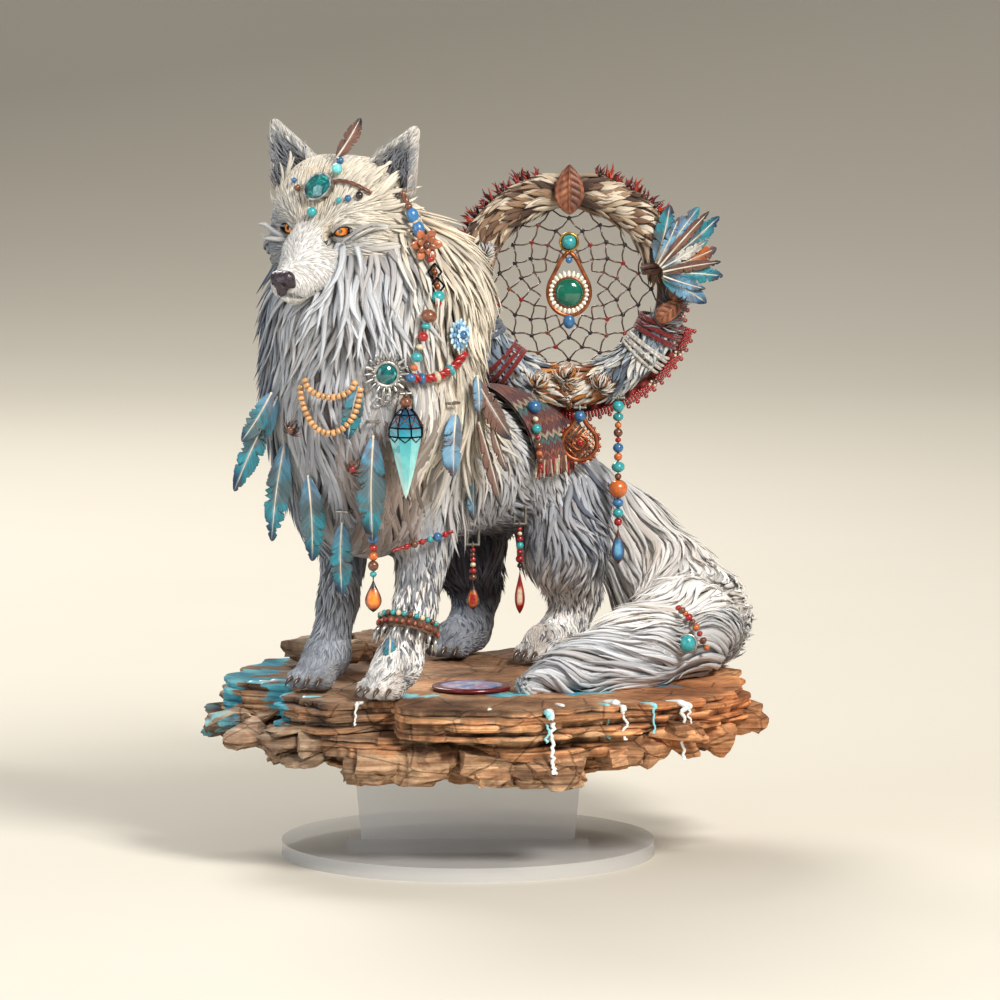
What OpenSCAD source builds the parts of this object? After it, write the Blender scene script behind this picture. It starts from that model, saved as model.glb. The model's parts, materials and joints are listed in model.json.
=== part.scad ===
// Wolf figure on a rock ledge, with a dreamcatcher hoop on its back, held in a clear slotted stand.
// Millimetres. +Z up, +X to the viewer's right, -Y towards the viewer. The origin is the centre of the
// stand disc's underside.

/* [Stand] */
// Diameter of the clear disc that stands on the table
disc_d = 105; // [96:1:120]
// Thickness of the clear disc
disc_t = 4; // [3:0.5:6]
// Thickness of the upright tab
tab_t = 4; // [3:0.5:5]
// Width of the tab where it leaves the disc
tab_neck_w = 60; // [50:1:64]
// Width of the tab under the rock
tab_top_w = 66; // [60:1:68]
// Width of the tab's foot in the slot
tab_foot_w = 67.6; // [64:0.2:70]

/* [Rock] */
// Height of the rock's top face above the table
rock_top = 48.5; // [46:0.5:52]
// Half width of the top slab, left to right
slab_rx = 74; // [72:1:78]
// Half depth of the top slab, front to back
slab_ry = 69; // [66:1:72]

/* [Wolf] */
// Turn of the wolf's body away from straight ahead, in degrees
heading = 30; // [26:1:32]
// Further turn of the head
head_turn = 3; // [0:1:6]

/* [Hoop] */
// Mean radius of the dreamcatcher hoop
hoop_r = 28; // [27:0.5:28.5]
// Radius of the bent rod inside the hoop
rod_r = 3; // [2.5:0.1:3.2]

/* [Hangers] */
// Radius of the wire staples that the pendants hang on
pin_r = 0.4; // [0.35:0.05:0.45]

/* [Hidden] */

foot_lift = 0.3;      // the tab's foot stays off the table
gap = 0.2;            // clearance between neighbouring castings
loop_clear = 0.08;    // running clearance of a hanging loop on its pin
slab_t = 8.5;         // top slab
ledge_t = 6;          // each ledge below it
slab_x = 5;           // centre of the rock
slab_y = 8;
slab_z = rock_top - slab_t;
mid_z = slab_z - ledge_t - 0.1;
low_z = mid_z - ledge_t - 0.1;
tab_top_z = mid_z + 3;
wolf_x = -11;         // the wolf's own origin on the rock
wolf_y = 5;

// Wolf body masses in the wolf's own frame: x across, -y forward, z above the rock, radius
TORSO = [[0, -26, 62, 24], [0, 5, 61, 22], [0, 32, 58, 19.5], [0, 53, 56, 20]];
MANE = [[0, -36, 58, 19.5], [2, -34, 82, 28.5], [1, -33, 104, 28], [2, -20, 108, 24], [0, -37, 119, 21]];
FRONT_LEFT = [[13, -24, 46, 10], [12.5, -29, 24, 6.4], [11, -36, 9, 6.2], [10.3, -41, 5.5, 5.8]];
FRONT_RIGHT = [[-14, -21, 46, 9], [-16, -23, 24, 6], [-16.5, -28, 9, 5.9], [-17, -33, 5.5, 5.6]];
HIND_LEFT = [[13, 52, 48, 15], [16, 47, 36, 12.5], [15, 58, 18, 6.5], [13, 53, 7, 6.3], [12, 44, 5.5, 6]];
HIND_RIGHT = [[-12, 52, 46, 14], [-16, 46, 34, 12], [-17, 56, 17, 6.3], [-16, 50, 7, 6], [-16, 41, 5.5, 5.8]];
// Tail in the rock's frame: x, y, height above the rock, radius
TAIL = [[31, 66, 50, 9], [44, 66, 34, 11.5], [57, 57, 20, 13], [64, 40, 13.5, 13], [61, 18, 12.8, 12.4],
    [47, -3, 9.6, 9], [30, -14, 5, 4.6], [19, -20, 2.6, 2]];

head_at = [-3.5, -43.6, 136.7];
skull_x = 5;          // the skull is two balls side by side: half their spread, then place and radius
skull_y = 3;
skull_z = 1;
skull_r = 13.5;
mane_at = place([2, -34, 0]);   // the mane's axis in the rock's frame
hoop_at = [28.6, 40, rock_top + 107];
wrap_r = 5.6;
lower_wrap_r = 6.6;
band_section = 1.3;   // the beaded band round the lower wrap
band_r = hoop_r + lower_wrap_r + band_section + 0.1;

// A point in the wolf's frame, moved to the object's frame
function place(p) = [wolf_x + p[0] * cos(heading) + p[1] * sin(heading),
    wolf_y - p[0] * sin(heading) + p[1] * cos(heading), rock_top + p[2]];
// A point at a distance from the mane's axis, in the direction az, at a height above the rock
function on_mane(az, reach, z) = [mane_at[0] + sin(az) * reach, mane_at[1] - cos(az) * reach, rock_top + z];
// A point on the front of the skull in the head's frame, at x and z, and out from the surface
function on_skull(x, z, out = 0) = let (c = [max(-skull_x, min(skull_x, x)), skull_y, skull_z],
    d = [x - c[0], -sqrt(pow(skull_r, 2) - pow(x - c[0], 2) - pow(z - c[2], 2)), z - c[2]])
    c + d * (skull_r + out) / skull_r;
function oval(rx, ry, n = 40) = [for (i = [0:n - 1]) [rx * cos(360 * i / n), ry * sin(360 * i / n)]];
// A rough closed outline: an ellipse whose radius wanders by share
function rough(rx, ry, seed, share = 0.06, n = 26) = let (jitter = rands(-share, share, n, seed))
    [for (i = [0:n - 1]) let (a = 360 * i / n, k = 1 + jitter[i]) [rx * k * cos(a), ry * k * sin(a)]];
// A feather's half width at t from its quill (0) to its tip (1)
function vane(t) = pow(sin(180 * pow(t, 0.8)), 0.7);

module at_wolf() { translate([wolf_x, wolf_y, rock_top]) rotate([0, 0, -heading]) children(); }
module at_head() { at_wolf() translate(head_at) rotate([0, 0, -head_turn]) children(); }
module at_hoop() { translate(hoop_at) rotate([90, 0, 0]) children(); }
module ball(p, grow = 0, fine = 18) { translate([p[0], p[1], p[2]]) sphere(r = p[3] + grow, $fn = fine); }
module chain(points, grow = 0) {
    for (i = [0:len(points) - 2]) hull() { ball(points[i], grow); ball(points[i + 1], grow); }
}
module under_rock() { translate([-200, -200, rock_top - 50]) cube([400, 400, 50.1]); }
// A bead at p whose seam and poles stay off the thread, which runs along d
module bead_on(p, d, r) {
    translate(p) rotate([0, acos(d[2] / norm(d)), atan2(d[1], d[0])]) rotate([90, 0, 0]) sphere(r = r, $fn = 24);
}
// Beads of the given radii at the given points, with the thread between them
module bead_line(points, radii, thread = 0.3) {
    last = len(points) - 1;
    for (i = [0:last])
        bead_on(points[i], points[min(i + 1, last)] - points[max(i - 1, 0)], radii[i % len(radii)]);
    for (i = [0:last - 1]) rod(points[i], points[i + 1], thread);
}
module rod(a, b, r) {
    d = b - a;
    translate(a) rotate([0, acos(d[2] / norm(d)), atan2(d[1], d[0])]) cylinder(r = r, h = norm(d), $fn = 20);
}

// ---- Stand ----
module base_disc() {
    color([0.85, 0.88, 0.9, 0.4]) difference() {
        cylinder(d = disc_d, h = disc_t, $fn = 96);
        translate([-tab_foot_w / 2 - gap, -tab_t / 2 - gap / 2, -1])
            cube([tab_foot_w + 2 * gap, tab_t + gap, disc_t + 2]);
    }
}
module stand_tab() {
    color([0.9, 0.93, 0.95, 0.4]) translate([0, tab_t / 2, 0]) rotate([90, 0, 0]) linear_extrude(tab_t)
        polygon([[-tab_foot_w / 2, foot_lift], [tab_foot_w / 2, foot_lift], [tab_foot_w / 2, disc_t],
            [tab_neck_w / 2, disc_t], [tab_top_w / 2, tab_top_z], [-tab_top_w / 2, tab_top_z],
            [-tab_neck_w / 2, disc_t], [-tab_foot_w / 2, disc_t]]);
}
module tab_socket() {
    translate([-tab_top_w / 2 - gap, -tab_t / 2 - gap, 0])
        cube([tab_top_w + 2 * gap, tab_t + 2 * gap, tab_top_z + gap]);
}

// ---- Rock ----
module layer(z, t, outline) { translate([slab_x, slab_y, z]) linear_extrude(t) polygon(outline); }
SLAB_OUTLINE = rough(slab_rx, slab_ry, 5);
MID_OUTLINE = rough(70, 62, 11, 0.07);
LOW_OUTLINE = rough(54, 50, 23, 0.07);
module rock_top_slab() {
    color([0.62, 0.42, 0.28]) difference() {
        layer(slab_z, slab_t, SLAB_OUTLINE);
        // the front apron falls away towards the viewer
        translate([0, -45, rock_top]) rotate([15, 0, 0]) translate([-120, -60, 0]) cube([240, 60, 20]);
        foot_pin_set(0.02);
    }
}
module ledge(z, outline) { difference() { layer(z, ledge_t, outline); tab_socket(); } }
module rock_middle_ledge() { color([0.5, 0.34, 0.24]) ledge(mid_z, MID_OUTLINE); }
module rock_lower_ledge() { color([0.45, 0.31, 0.22]) ledge(low_z, LOW_OUTLINE); }
// One broken stone: three boxes turned against each other
module stone(p, size, seed) {
    t = rands(-24, 24, 6, seed);
    translate(p) rotate([t[0] * 0.5, t[1] * 0.5, t[5] * 3]) intersection() {
        cube(size, center = true);
        rotate([t[2], t[3], 30 + t[4]]) cube(size * 1.12, center = true);
        rotate([t[3], t[4], -38 + t[2]]) cube(size * 1.16, center = true);
    }
}
// Stones in an arc round the rock, from angle a0 to a1, on an ellipse of rx by ry
module stone_arc(a0, a1, count, rx, ry, z, size, seed) {
    lift = rands(-1.2, 1.2, count, seed);
    for (i = [0:count - 1]) let (a = a0 + (a1 - a0) * i / (count - 1))
        stone([slab_x + rx * cos(a), slab_y + ry * sin(a), z + lift[i]],
            size * (1 + 0.12 * lift[i]), seed + 7 * i);
}
module ledges_out(z_low) {
    difference() {
        children();
        layer(slab_z - 0.1, slab_t + 20, SLAB_OUTLINE);
        layer(mid_z - 0.1, ledge_t + 0.3, MID_OUTLINE);
        layer(low_z - 0.1, ledge_t + 0.3, LOW_OUTLINE);
        translate([-200, -200, z_low - 50]) cube([400, 400, 50]);
    }
}
module rubble_left() {
    color([0.48, 0.44, 0.4]) ledges_out(low_z + 2) {
        stone_arc(150, 222, 5, 68, 60, mid_z + 2, [24, 17, 10], 31);
        stone_arc(160, 215, 4, 58, 54, low_z + 4, [22, 15, 8], 53);
    }
}
module rubble_front() {
    color([0.6, 0.45, 0.32]) ledges_out(low_z) {
        stone_arc(241, 287, 5, 58, 56, low_z + 3.5, [20, 15, 9], 71);
    }
}
module rubble_right() {
    color([0.68, 0.42, 0.28]) ledges_out(low_z + 3) {
        stone_arc(314, 388, 6, 68, 60, mid_z + 2.5, [23, 16, 11], 97);
        stone_arc(312, 350, 3, 60, 56, low_z + 5, [20, 14, 8], 131);
    }
}
module rock_back_stones() {
    color([0.36, 0.31, 0.27]) difference() {
        for (i = [0:3]) let (a = 125 + 17 * i)
            stone([slab_x + 56 * cos(a), slab_y + 53 * sin(a), rock_top + 1.5], [24, 15, 11], 151 + 9 * i);
        translate([-200, -200, rock_top - 40]) cube([400, 400, 40.1]);
    }
}
module painted_shield() {
    color([0.72, 0.6, 0.62]) translate([1, -14, rock_top + 0.1]) difference() {
        cylinder(r = 11, h = 1.2, $fn = 64);
        translate([0, 0, 0.8]) cylinder(r = 9.6, h = 1, $fn = 64);
    }
}
module foot_pin_set(grow = 0) {
    for (leg = [FRONT_LEFT, FRONT_RIGHT, HIND_LEFT, HIND_RIGHT]) let (paw = leg[len(leg) - 2])
        translate(place([paw[0], paw[1], -5 - grow])) cylinder(r = 1.2 + grow, h = 9 + 2 * grow, $fn = 24);
}
module foot_pins() { color("silver") foot_pin_set(); }

// ---- Wolf ----
module hoop_bed() {
    at_hoop() {
        rotate_extrude($fn = 64) translate([hoop_r, 0]) circle(r = lower_wrap_r + gap, $fn = 24);
        rotate_extrude($fn = 64) translate([band_r, 0]) circle(r = band_section + gap, $fn = 16);
    }
}
module torso_shape(grow = 0) { at_wolf() chain(TORSO, grow); }
module mane_shape(grow = 0) { at_wolf() chain(MANE, grow); }
module wolf_torso() { color([0.72, 0.71, 0.7]) difference() { torso_shape(); mane_shape(gap); hoop_bed(); } }
module head_shape(grow = 0) {
    at_head() {
        hull() for (s = [-1, 1]) ball([s * skull_x, skull_y, skull_z, skull_r], grow, 20);
        for (s = [-1, 1]) hull() {
            ball([s * 7, 2, -2, 12.5], grow, 16);
            ball([s * 9.5, -2, -10, 10.5], grow, 16);
        }
        hull() { ball([0, -3, -5, 9], grow); ball([0, -14, -11, 7], grow); }
        hull() { ball([0, -13, -12, 7], grow); ball([0, -22.4, -18, 4.6], grow); }
        hull() { ball([0, -10, -16, 7], grow); ball([0, -21, -22, 4], grow); }
        hull() { ball([0, -1, -9, 12.5], grow, 16); ball([0, -12, -14, 8], grow, 16); }
        for (s = [-1, 1]) hull() {
            ball([s * 4.2, -9.3, -2.6, 2.1], grow, 16);
            ball([s * 9.6, -8.2, -0.8, 2.5], grow, 16);
        }
    }
}
module wolf_mane() { color([0.8, 0.79, 0.77]) difference() { mane_shape(); head_shape(gap); } }
module ear(side) {
    at_head() hull() {
        ball([side * 11.5, 3, 11, 3.2]);
        ball([side * 20, 3, 6, 3.2]);
        ball([side * 23, 3.5, 21.5, 1.3]);
    }
}
module nose() {
    color([0.2, 0.17, 0.2]) difference() {
        at_head() hull() {
            for (s = [-1, 1]) ball([s * 1.5, -26.8, -17.6, 2.2]);
            ball([0, -27.2, -21, 1.7]);
        }
        head_shape(0.1);
    }
}
module eyes() {
    color([0.85, 0.45, 0.1]) difference() {
        at_head() for (s = [-1, 1]) translate([s * 8, -9.6, -5.6]) sphere(r = 3.2, $fn = 24);
        head_shape(0.05);
    }
}
module wolf_head() { color([0.86, 0.84, 0.81]) head_shape(); }
module left_ear() { color([0.7, 0.69, 0.68]) difference() { ear(1); head_shape(gap); mane_shape(gap); } }
module right_ear() { color([0.7, 0.69, 0.68]) difference() { ear(-1); head_shape(gap); mane_shape(gap); } }
// A leg is a chain, with four toes at the end of its paw
module leg_shape(points, grow = 0) {
    paw = points[len(points) - 1];
    at_wolf() {
        chain(points, grow);
        for (i = [-1.5:1:1.5]) hull() {
            ball([paw[0] + i * 1.8, paw[1], 3.6, 3], grow, 14);
            ball([paw[0] + i * 3.1, paw[1] - 6 + abs(i) * 1.2, 2.8, 2.5], grow, 14);
        }
    }
}
module leg(points) {
    difference() {
        leg_shape(points);
        torso_shape(gap);
        mane_shape(gap);
        under_rock();
        foot_pin_set(0.02);
    }
}
module front_left_leg() { color([0.85, 0.84, 0.82]) leg(FRONT_LEFT); }
module front_right_leg() { color([0.6, 0.63, 0.65]) leg(FRONT_RIGHT); }
module hind_left_leg() { color([0.8, 0.79, 0.77]) leg(HIND_LEFT); }
module hind_right_leg() { color([0.45, 0.45, 0.48]) leg(HIND_RIGHT); }
module tail_shape(grow = 0) { translate([0, 0, rock_top]) chain(TAIL, grow); }
module tail() {
    color([0.78, 0.78, 0.78]) difference() {
        tail_shape();
        torso_shape(gap);
        leg_shape(HIND_LEFT, gap);
        leg_shape(HIND_RIGHT, gap);
        under_rock();
    }
}
module claws() {
    color([0.35, 0.3, 0.26]) for (leg = [FRONT_LEFT, FRONT_RIGHT, HIND_LEFT, HIND_RIGHT])
        let (paw = leg[len(leg) - 1]) for (i = [-1.5:1:1.5])
            translate(place([paw[0] + i * 3.1, paw[1] - 9 + abs(i) * 1.2, 0.9])) sphere(r = 0.7, $fn = 16);
}

// ---- Hanging parts ----
// A hanging part is drawn with its loop's centre at the origin, -z down and -y outward
module hang(p, az) { translate(p) rotate([0, 0, az]) children(); }
module loop() {
    rotate([0, 90, 0]) difference() {
        cylinder(r = 1, h = 1, center = true, $fn = 32);
        cylinder(r = pin_r + loop_clear, h = 2, center = true, $fn = 32);
    }
}
module bead(z, r, bore = 0.35) {
    translate([0, 0, z]) rotate_extrude($fn = 32) difference() {
        intersection() { circle(r = r, $fn = 32); translate([0, -r]) square([r, 2 * r]); }
        translate([0, -2 * r]) square([bore, 4 * r]);
    }
}
module cord(top, bottom) { translate([0, 0, bottom]) cylinder(r = 0.3, h = top - bottom, $fn = 20); }
module feather_plate(len, w, t = 0.8) {
    n = 9;
    rotate([90, 0, 0]) linear_extrude(t, center = true) polygon(concat(
        [for (i = [0:n]) [w * vane(i / n) + 0.3, -len * i / n]],
        [for (i = [n:-1:0]) [-w * vane(i / n) - 0.3, -len * i / n]]));
}
module hung_feather(len, w) { loop(); translate([0, 0, -0.9]) feather_plate(len, w); }
// A string of beads on a cord, given as a list of bead radii from the top down
module bead_string(radii, top = -0.8) {
    cord(top + 0.2, -string_len(radii) - 0.3);
    for (i = [0:len(radii) - 1]) bead(top - drop_to(radii, i) - radii[i] * bead_pitch, radii[i], 0.3);
}
bead_pitch = 0.94;    // beads on a string sit this share of their size apart
// How far down a string the bead i starts, and the whole string's length with its loop
function drop_to(radii, i) = i == 0 ? 0 : 2 * radii[i - 1] * bead_pitch + drop_to(radii, i - 1);
function string_len(radii) = 0.8 + drop_to(radii, len(radii));
module drop_charm(z, r, len) {
    translate([0, 0, z]) rotate_extrude($fn = 40) polygon(concat([[0, 0]],
        [for (i = [1:8]) let (t = i / 8)
            [r * pow(sin(180 * pow(t, 1.7)), 0.85) * 0.98 + (i < 8 ? 0.15 : 0), -len * t]]));
}
module beads_and_drop(radii, r, len) {
    loop();
    bead_string(radii);
    drop_charm(-string_len(radii), r, len);
}
FRONT_BEADS = [0.7, 0.9, 1.1, 1.5, 1.2, 1.3, 1.5, 1];
BELLY_BEADS = [0.7, 0.7, 0.8, 0.8, 1, 1];
FLANK_BEADS = [0.7, 0.7, 0.9, 1.1, 0.9, 1.2, 0.8];
LONG_BEADS = [1.7, 1.5, 1, 1.3, 0.9, 1.5, 1.2, 1.9, 1, 2.7, 1.6, 1.5, 1.2];

PINS = [["crystal", on_mane(16, 34.6, 88), 16], ["long_feather", on_mane(1, 31.4, 80), 1],
    ["leg_feather", on_mane(-21, 22.8, 54), -21], ["shoulder", on_mane(47, 31.4, 84), 47],
    ["front", on_mane(1, 23, 54), 1], ["belly", [1.4, 3, rock_top + 38.5], 0],
    ["flank", [14.6, 18, rock_top + 42.5], 0], ["medallion", [31.6, 28.2, rock_top + 74.4], 0],
    ["long", [42.5, 29.6, rock_top + 77], 0]];
module pin_of(name) { for (p = PINS) if (p[0] == name) hang(p[1], p[2]) children(); }
module staple(p) {
    lift = p[0] == "belly" || p[0] == "flank";
    hang(p[1], p[2]) {
        rotate([0, 90, 0]) cylinder(r = pin_r, h = 3.2, center = true, $fn = 24);
        for (s = [-1, 1]) translate([s * 1.6, 0, 0]) {
            sphere(r = pin_r, $fn = 24);
            rotate([lift ? 0 : -90, 0, 0]) cylinder(r = pin_r, h = lift ? 5 : 9, $fn = 24);
        }
    }
}
module hanger_pins() { color("silver") for (p = PINS) staple(p); }

module crystal_pendant() {
    color([0.25, 0.7, 0.72]) pin_of("crystal") {
        loop();
        translate([0, 0, -0.9]) {
            translate([0, 0, -1.9]) sphere(r = 2, $fn = 32);
            translate([0, 0, -8]) cylinder(r1 = 5, r2 = 3, h = 4.4, $fn = 8);
            translate([0, 0, -28]) cylinder(r1 = 0.5, r2 = 5, h = 20, $fn = 8);
        }
    }
}
module long_feather() { color([0.3, 0.6, 0.75]) pin_of("long_feather") hung_feather(33, 4); }
module leg_feather() { color([0.4, 0.65, 0.75]) pin_of("leg_feather") hung_feather(23, 3.2); }
module shoulder_feather() { color([0.4, 0.72, 0.85]) pin_of("shoulder") hung_feather(20, 4); }
module front_drop() {
    color([0.75, 0.32, 0.15]) pin_of("front") beads_and_drop(FRONT_BEADS, 2.4, 9.6);
}
module belly_drop() {
    color([0.5, 0.15, 0.12]) pin_of("belly") beads_and_drop(BELLY_BEADS, 1.8, 8.4);
}
module flank_drop() {
    color([0.7, 0.12, 0.12]) pin_of("flank") beads_and_drop(FLANK_BEADS, 1.5, 13);
}
module filigree_medallion() {
    color([0.5, 0.36, 0.26]) pin_of("medallion") {
        loop();
        translate([0, 0.7, -1]) rotate([90, 0, 0]) linear_extrude(1.4) {
            difference() {
                union() {
                    translate([0, -7]) circle(r = 5.6, $fn = 48);
                    polygon([[0, 0.6], [4.6, -4], [-4.6, -4]]);
                    polygon([[0, -14.6], [4.6, -9.8], [-4.6, -9.8]]);
                }
                for (a = [0:60:300]) translate([2.9 * cos(a), -7 + 2.9 * sin(a)]) circle(r = 1.05, $fn = 20);
                translate([0, -7]) circle(r = 1, $fn = 20);
            }
        }
    }
}
module long_bead_strand() {
    color([0.25, 0.55, 0.65]) pin_of("long") beads_and_drop(LONG_BEADS, 1.9, 11);
}

// ---- Ornaments fixed to the wolf ----
// Forehead frame: -y out of the forehead
brow_z = 6;
module at_brow() {
    at_head() translate(on_skull(0.8, brow_z, 0.1)) rotate([-asin((brow_z - skull_z) / skull_r), 0, 0])
        rotate([0, -30, 0]) rotate([90, 0, 0]) children();
}
module brow_setting() {
    color("silver") at_brow() difference() {
        linear_extrude(1.6) polygon(oval(4.6, 3.9));
        translate([0, 0, 0.6]) linear_extrude(2) polygon(oval(4, 3.3));
    }
}
module brow_stone() {
    color([0.05, 0.4, 0.45]) at_brow() intersection() {
        translate([0, 0, 0.7]) linear_extrude(3) polygon(oval(3.9, 3.2));
        translate([0, 0, -4.2]) sphere(r = 6.9, $fn = 64);
    }
}
// Beads on the forehead: x, z, radius
BROW_BEADS = [[5.2, 10.3, 1.5], [4.2, 12.4, 1.05], [7.7, 2.9, 0.8], [10, 3.5, 0.95], [12.5, 4.2, 1.1],
    [-6, 5.5, 0.95], [-7.9, 7.3, 0.8]];
module brow_beads() {
    color([0.2, 0.6, 0.7]) at_head() {
        for (b = BROW_BEADS) translate(on_skull(b[0], b[1], b[2] + 0.1)) sphere(r = b[2], $fn = 32);
        translate([1.2, -14.3, -0.2]) sphere(r = 1.4, $fn = 32);
    }
}
module brow_feather() {
    color([0.35, 0.25, 0.25]) at_head() translate([2.8, -4.2, 14.2])
        rotate([15.6, 206, 0]) feather_plate(13, 2.2);
}
// Beads down the cheek, from below the ear
module cheek_strand() {
    color([0.3, 0.6, 0.7]) bead_line([for (i = [0:8]) let (t = i / 8)
        [-15 + 7 * sin(90 * t), -43 - 3.5 * t, rock_top + 135.5 - 24 * t]],
        [1.3, 1.4, 1.4, 1.45, 1.45, 1, 1, 1.4, 1.45]);
}
// Collar: a cord of straight pieces over the right of the mane, with beads on it
COLLAR = [for (a = [22:8:54]) on_mane(a, 29.6, 91.3 + 0.0085 * pow(a - 30, 2))];
module collar_cord() {
    color([0.5, 0.1, 0.1]) for (i = [0:len(COLLAR) - 2]) {
        rod(COLLAR[i], COLLAR[i + 1], 0.9);
        bead_on(COLLAR[i + 1], COLLAR[min(i + 2, len(COLLAR) - 1)] - COLLAR[i], 1.15);
    }
}
module collar_beads() {
    color([0.3, 0.65, 0.65]) bead_line([for (i = [0:6]) on_mane(29.3 - 1.6 * i, 32.1, 108.8 - 2.8 * i)],
        [1.4, 1.3, 1.4, 1.2, 1.35, 1.1, 1.3]);
}
module flower_rosette() {
    color([0.5, 0.66, 0.75]) translate(on_mane(52.5, 29.2, 102.6)) rotate([0, 0, 52.5]) rotate([90, 0, 0]) {
        difference() {
            cylinder(r = 4.6, h = 1.5, $fn = 64);
            for (a = [0:15:345]) rotate([0, 0, a]) translate([4.8, 0, 1.5])
                rotate([0, 90, 0]) cylinder(r = 0.35, h = 4, center = true, $fn = 16);
        }
        translate([0, 0, 1.1]) sphere(r = 1.5, $fn = 32);
    }
}
module at_sun() { translate(on_mane(8, 28.9, 93)) rotate([0, 0, 8]) rotate([90, 0, 0]) children(); }
module sun_setting() {
    color([0.45, 0.43, 0.4]) at_sun() difference() {
        union() {
            cylinder(r = 3.7, h = 1.4, $fn = 48);
            for (a = [0:24:336]) rotate([0, 0, a]) translate([3.2, -0.3, 0]) cube([1.9, 0.6, 0.9]);
        }
        translate([0, 0, 0.6]) cylinder(r = 3, h = 2, $fn = 48);
    }
}
module sun_stone() {
    color([0.2, 0.65, 0.68]) at_sun() translate([0, 0, 0.7]) intersection() {
        cylinder(r = 2.9, h = 2.4, $fn = 48);
        translate([0, 0, -2.6]) sphere(r = 4.4, $fn = 64);
    }
}
// Two hanging loops of small tan beads across the chest: how many beads, depth, spread in degrees, top
TAN_LOOPS = [[11, 5, 14, 91.5], [18, 13, 16.6, 89.6]];
module tan_bead_loops() {
    color([0.78, 0.56, 0.4]) for (row = TAN_LOOPS) bead_line([for (i = [0:row[0]]) let (a = 180 * i / row[0])
        on_mane(-22 - row[2] * cos(a), 29.4, row[3] - row[1] * sin(a))], [0.6]);
}
// A fixed feather: its quill, the way it faces, its lean aside, length, half width, and how far it stands out
module feather_at(p, az, lean, len, w, out) {
    translate(p) rotate([0, 0, az]) rotate([-out, lean, 0]) feather_plate(len, w);
}
module left_feather_fan() {
    color([0.2, 0.6, 0.62]) {
        feather_at(on_mane(-61.6, 29.8, 84.4), -30, 20.5, 29, 3.6, 14.7);
        feather_at(on_mane(-60, 32, 86), -40, 25.4, 16, 3.4, 22);
        feather_at(on_mane(-58.7, 28.2, 71.8), -30, 6.7, 28, 3.9, 4);
        feather_at(on_mane(-43.4, 25.5, 63.2), -25, -2, 24, 3.8, 0);
    }
}
module flank_feathers() {
    color([0.35, 0.45, 0.5]) {
        feather_at(on_mane(65, 31.2, 90), 63, -41, 25, 4, 9.7);
        feather_at(on_mane(60, 33.4, 91), 55, -3, 11, 2, 2);
        feather_at(on_mane(74, 30.6, 76.7), 70, -21.7, 27, 3, 7.6);
        feather_at(on_mane(79, 33.4, 76), 72, -30, 16, 2.2, 9);
        feather_at([1.4, -22, rock_top + 63], 60, -3, 15, 2.4, 1);
    }
}
module chest_feather_short() {
    color([0.35, 0.7, 0.72]) feather_at(on_mane(-6.4, 30.7, 89.3), -6, 11, 15, 2.8, 1);
}
module leg_bracelet() {
    color([0.4, 0.25, 0.2]) translate(place([12, -31.3, 19])) rotate([-25, 0, -heading]) difference() {
        union() {
            cylinder(r = 8.2, h = 3.4, center = true, $fn = 48);
            for (i = [0:9]) rotate([0, 0, 180 + 20 * i]) translate([8, 0, 0]) sphere(r = 1.15, $fn = 20);
        }
        cylinder(r = 7, h = 12, center = true, $fn = 48);
    }
}
module saddle_cloth() {
    color([0.5, 0.08, 0.1]) difference() {
        intersection() {
            torso_shape(1.4);
            at_wolf() translate([-30, 22, 60]) cube([60, 34, 40]);
        }
        torso_shape(gap);
        mane_shape(gap);
        hoop_bed();
        tail_shape(gap);
        leg_shape(HIND_LEFT, gap);
        leg_shape(HIND_RIGHT, gap);
    }
}

// ---- Dreamcatcher ----
// What is drawn in the ring's section at radius r, swept round the hoop from angle a0 to a1
module swept(a0, a1, r) {
    at_hoop() rotate([0, 0, a0]) rotate_extrude(angle = a1 - a0, $fn = 96) translate([r, 0]) children();
}
module wrap(a0, a1, r) {
    swept(a0, a1, hoop_r) difference() {
        circle(r = r, $fn = 40);
        circle(r = rod_r + 0.02, $fn = 40);
    }
}
module hoop_rod() { color([0.4, 0.3, 0.22]) swept(0, 360, hoop_r) circle(r = rod_r, $fn = 40); }
module hide_wrap_upper() { color([0.75, 0.66, 0.56]) wrap(22, 158, wrap_r); }
module hide_wrap_lower() { color([0.5, 0.5, 0.52]) wrap(198, 342, lower_wrap_r); }
module red_bead_band() {
    color([0.6, 0.08, 0.1]) {
        swept(200, 342, band_r) circle(r = band_section, $fn = 24);
        swept(344, 380, hoop_r + rod_r + 1.5) circle(r = 1.4, $fn = 24);
    }
}
module quill_fringe() {
    color([0.55, 0.2, 0.15]) at_hoop() {
        for (a = [26:5:154]) if (abs(a - 90) > 13) rotate([0, 0, a]) translate([hoop_r + wrap_r + 0.1, 0, 0])
            rotate([0, 90, 0]) cylinder(r1 = 0.9, r2 = 0.2, h = 3.4 + sin(a * 47), $fn = 16);
        for (a = [162:6:192]) rotate([0, 0, a]) translate([hoop_r + rod_r + 0.1, 0, 0])
            rotate([0, 90, 0]) cylinder(r1 = 0.9, r2 = 0.2, h = 5.4 + sin(a * 47), $fn = 16);
    }
}
module leaf_crest() {
    color([0.45, 0.28, 0.2]) at_hoop() translate([0, hoop_r + 1, wrap_r + gap]) linear_extrude(1.6)
        polygon([for (a = [0:18:342]) [4.2 * sin(a) * sqrt(abs(sin(a))), 7.2 * cos(a)]]);
}
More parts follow.
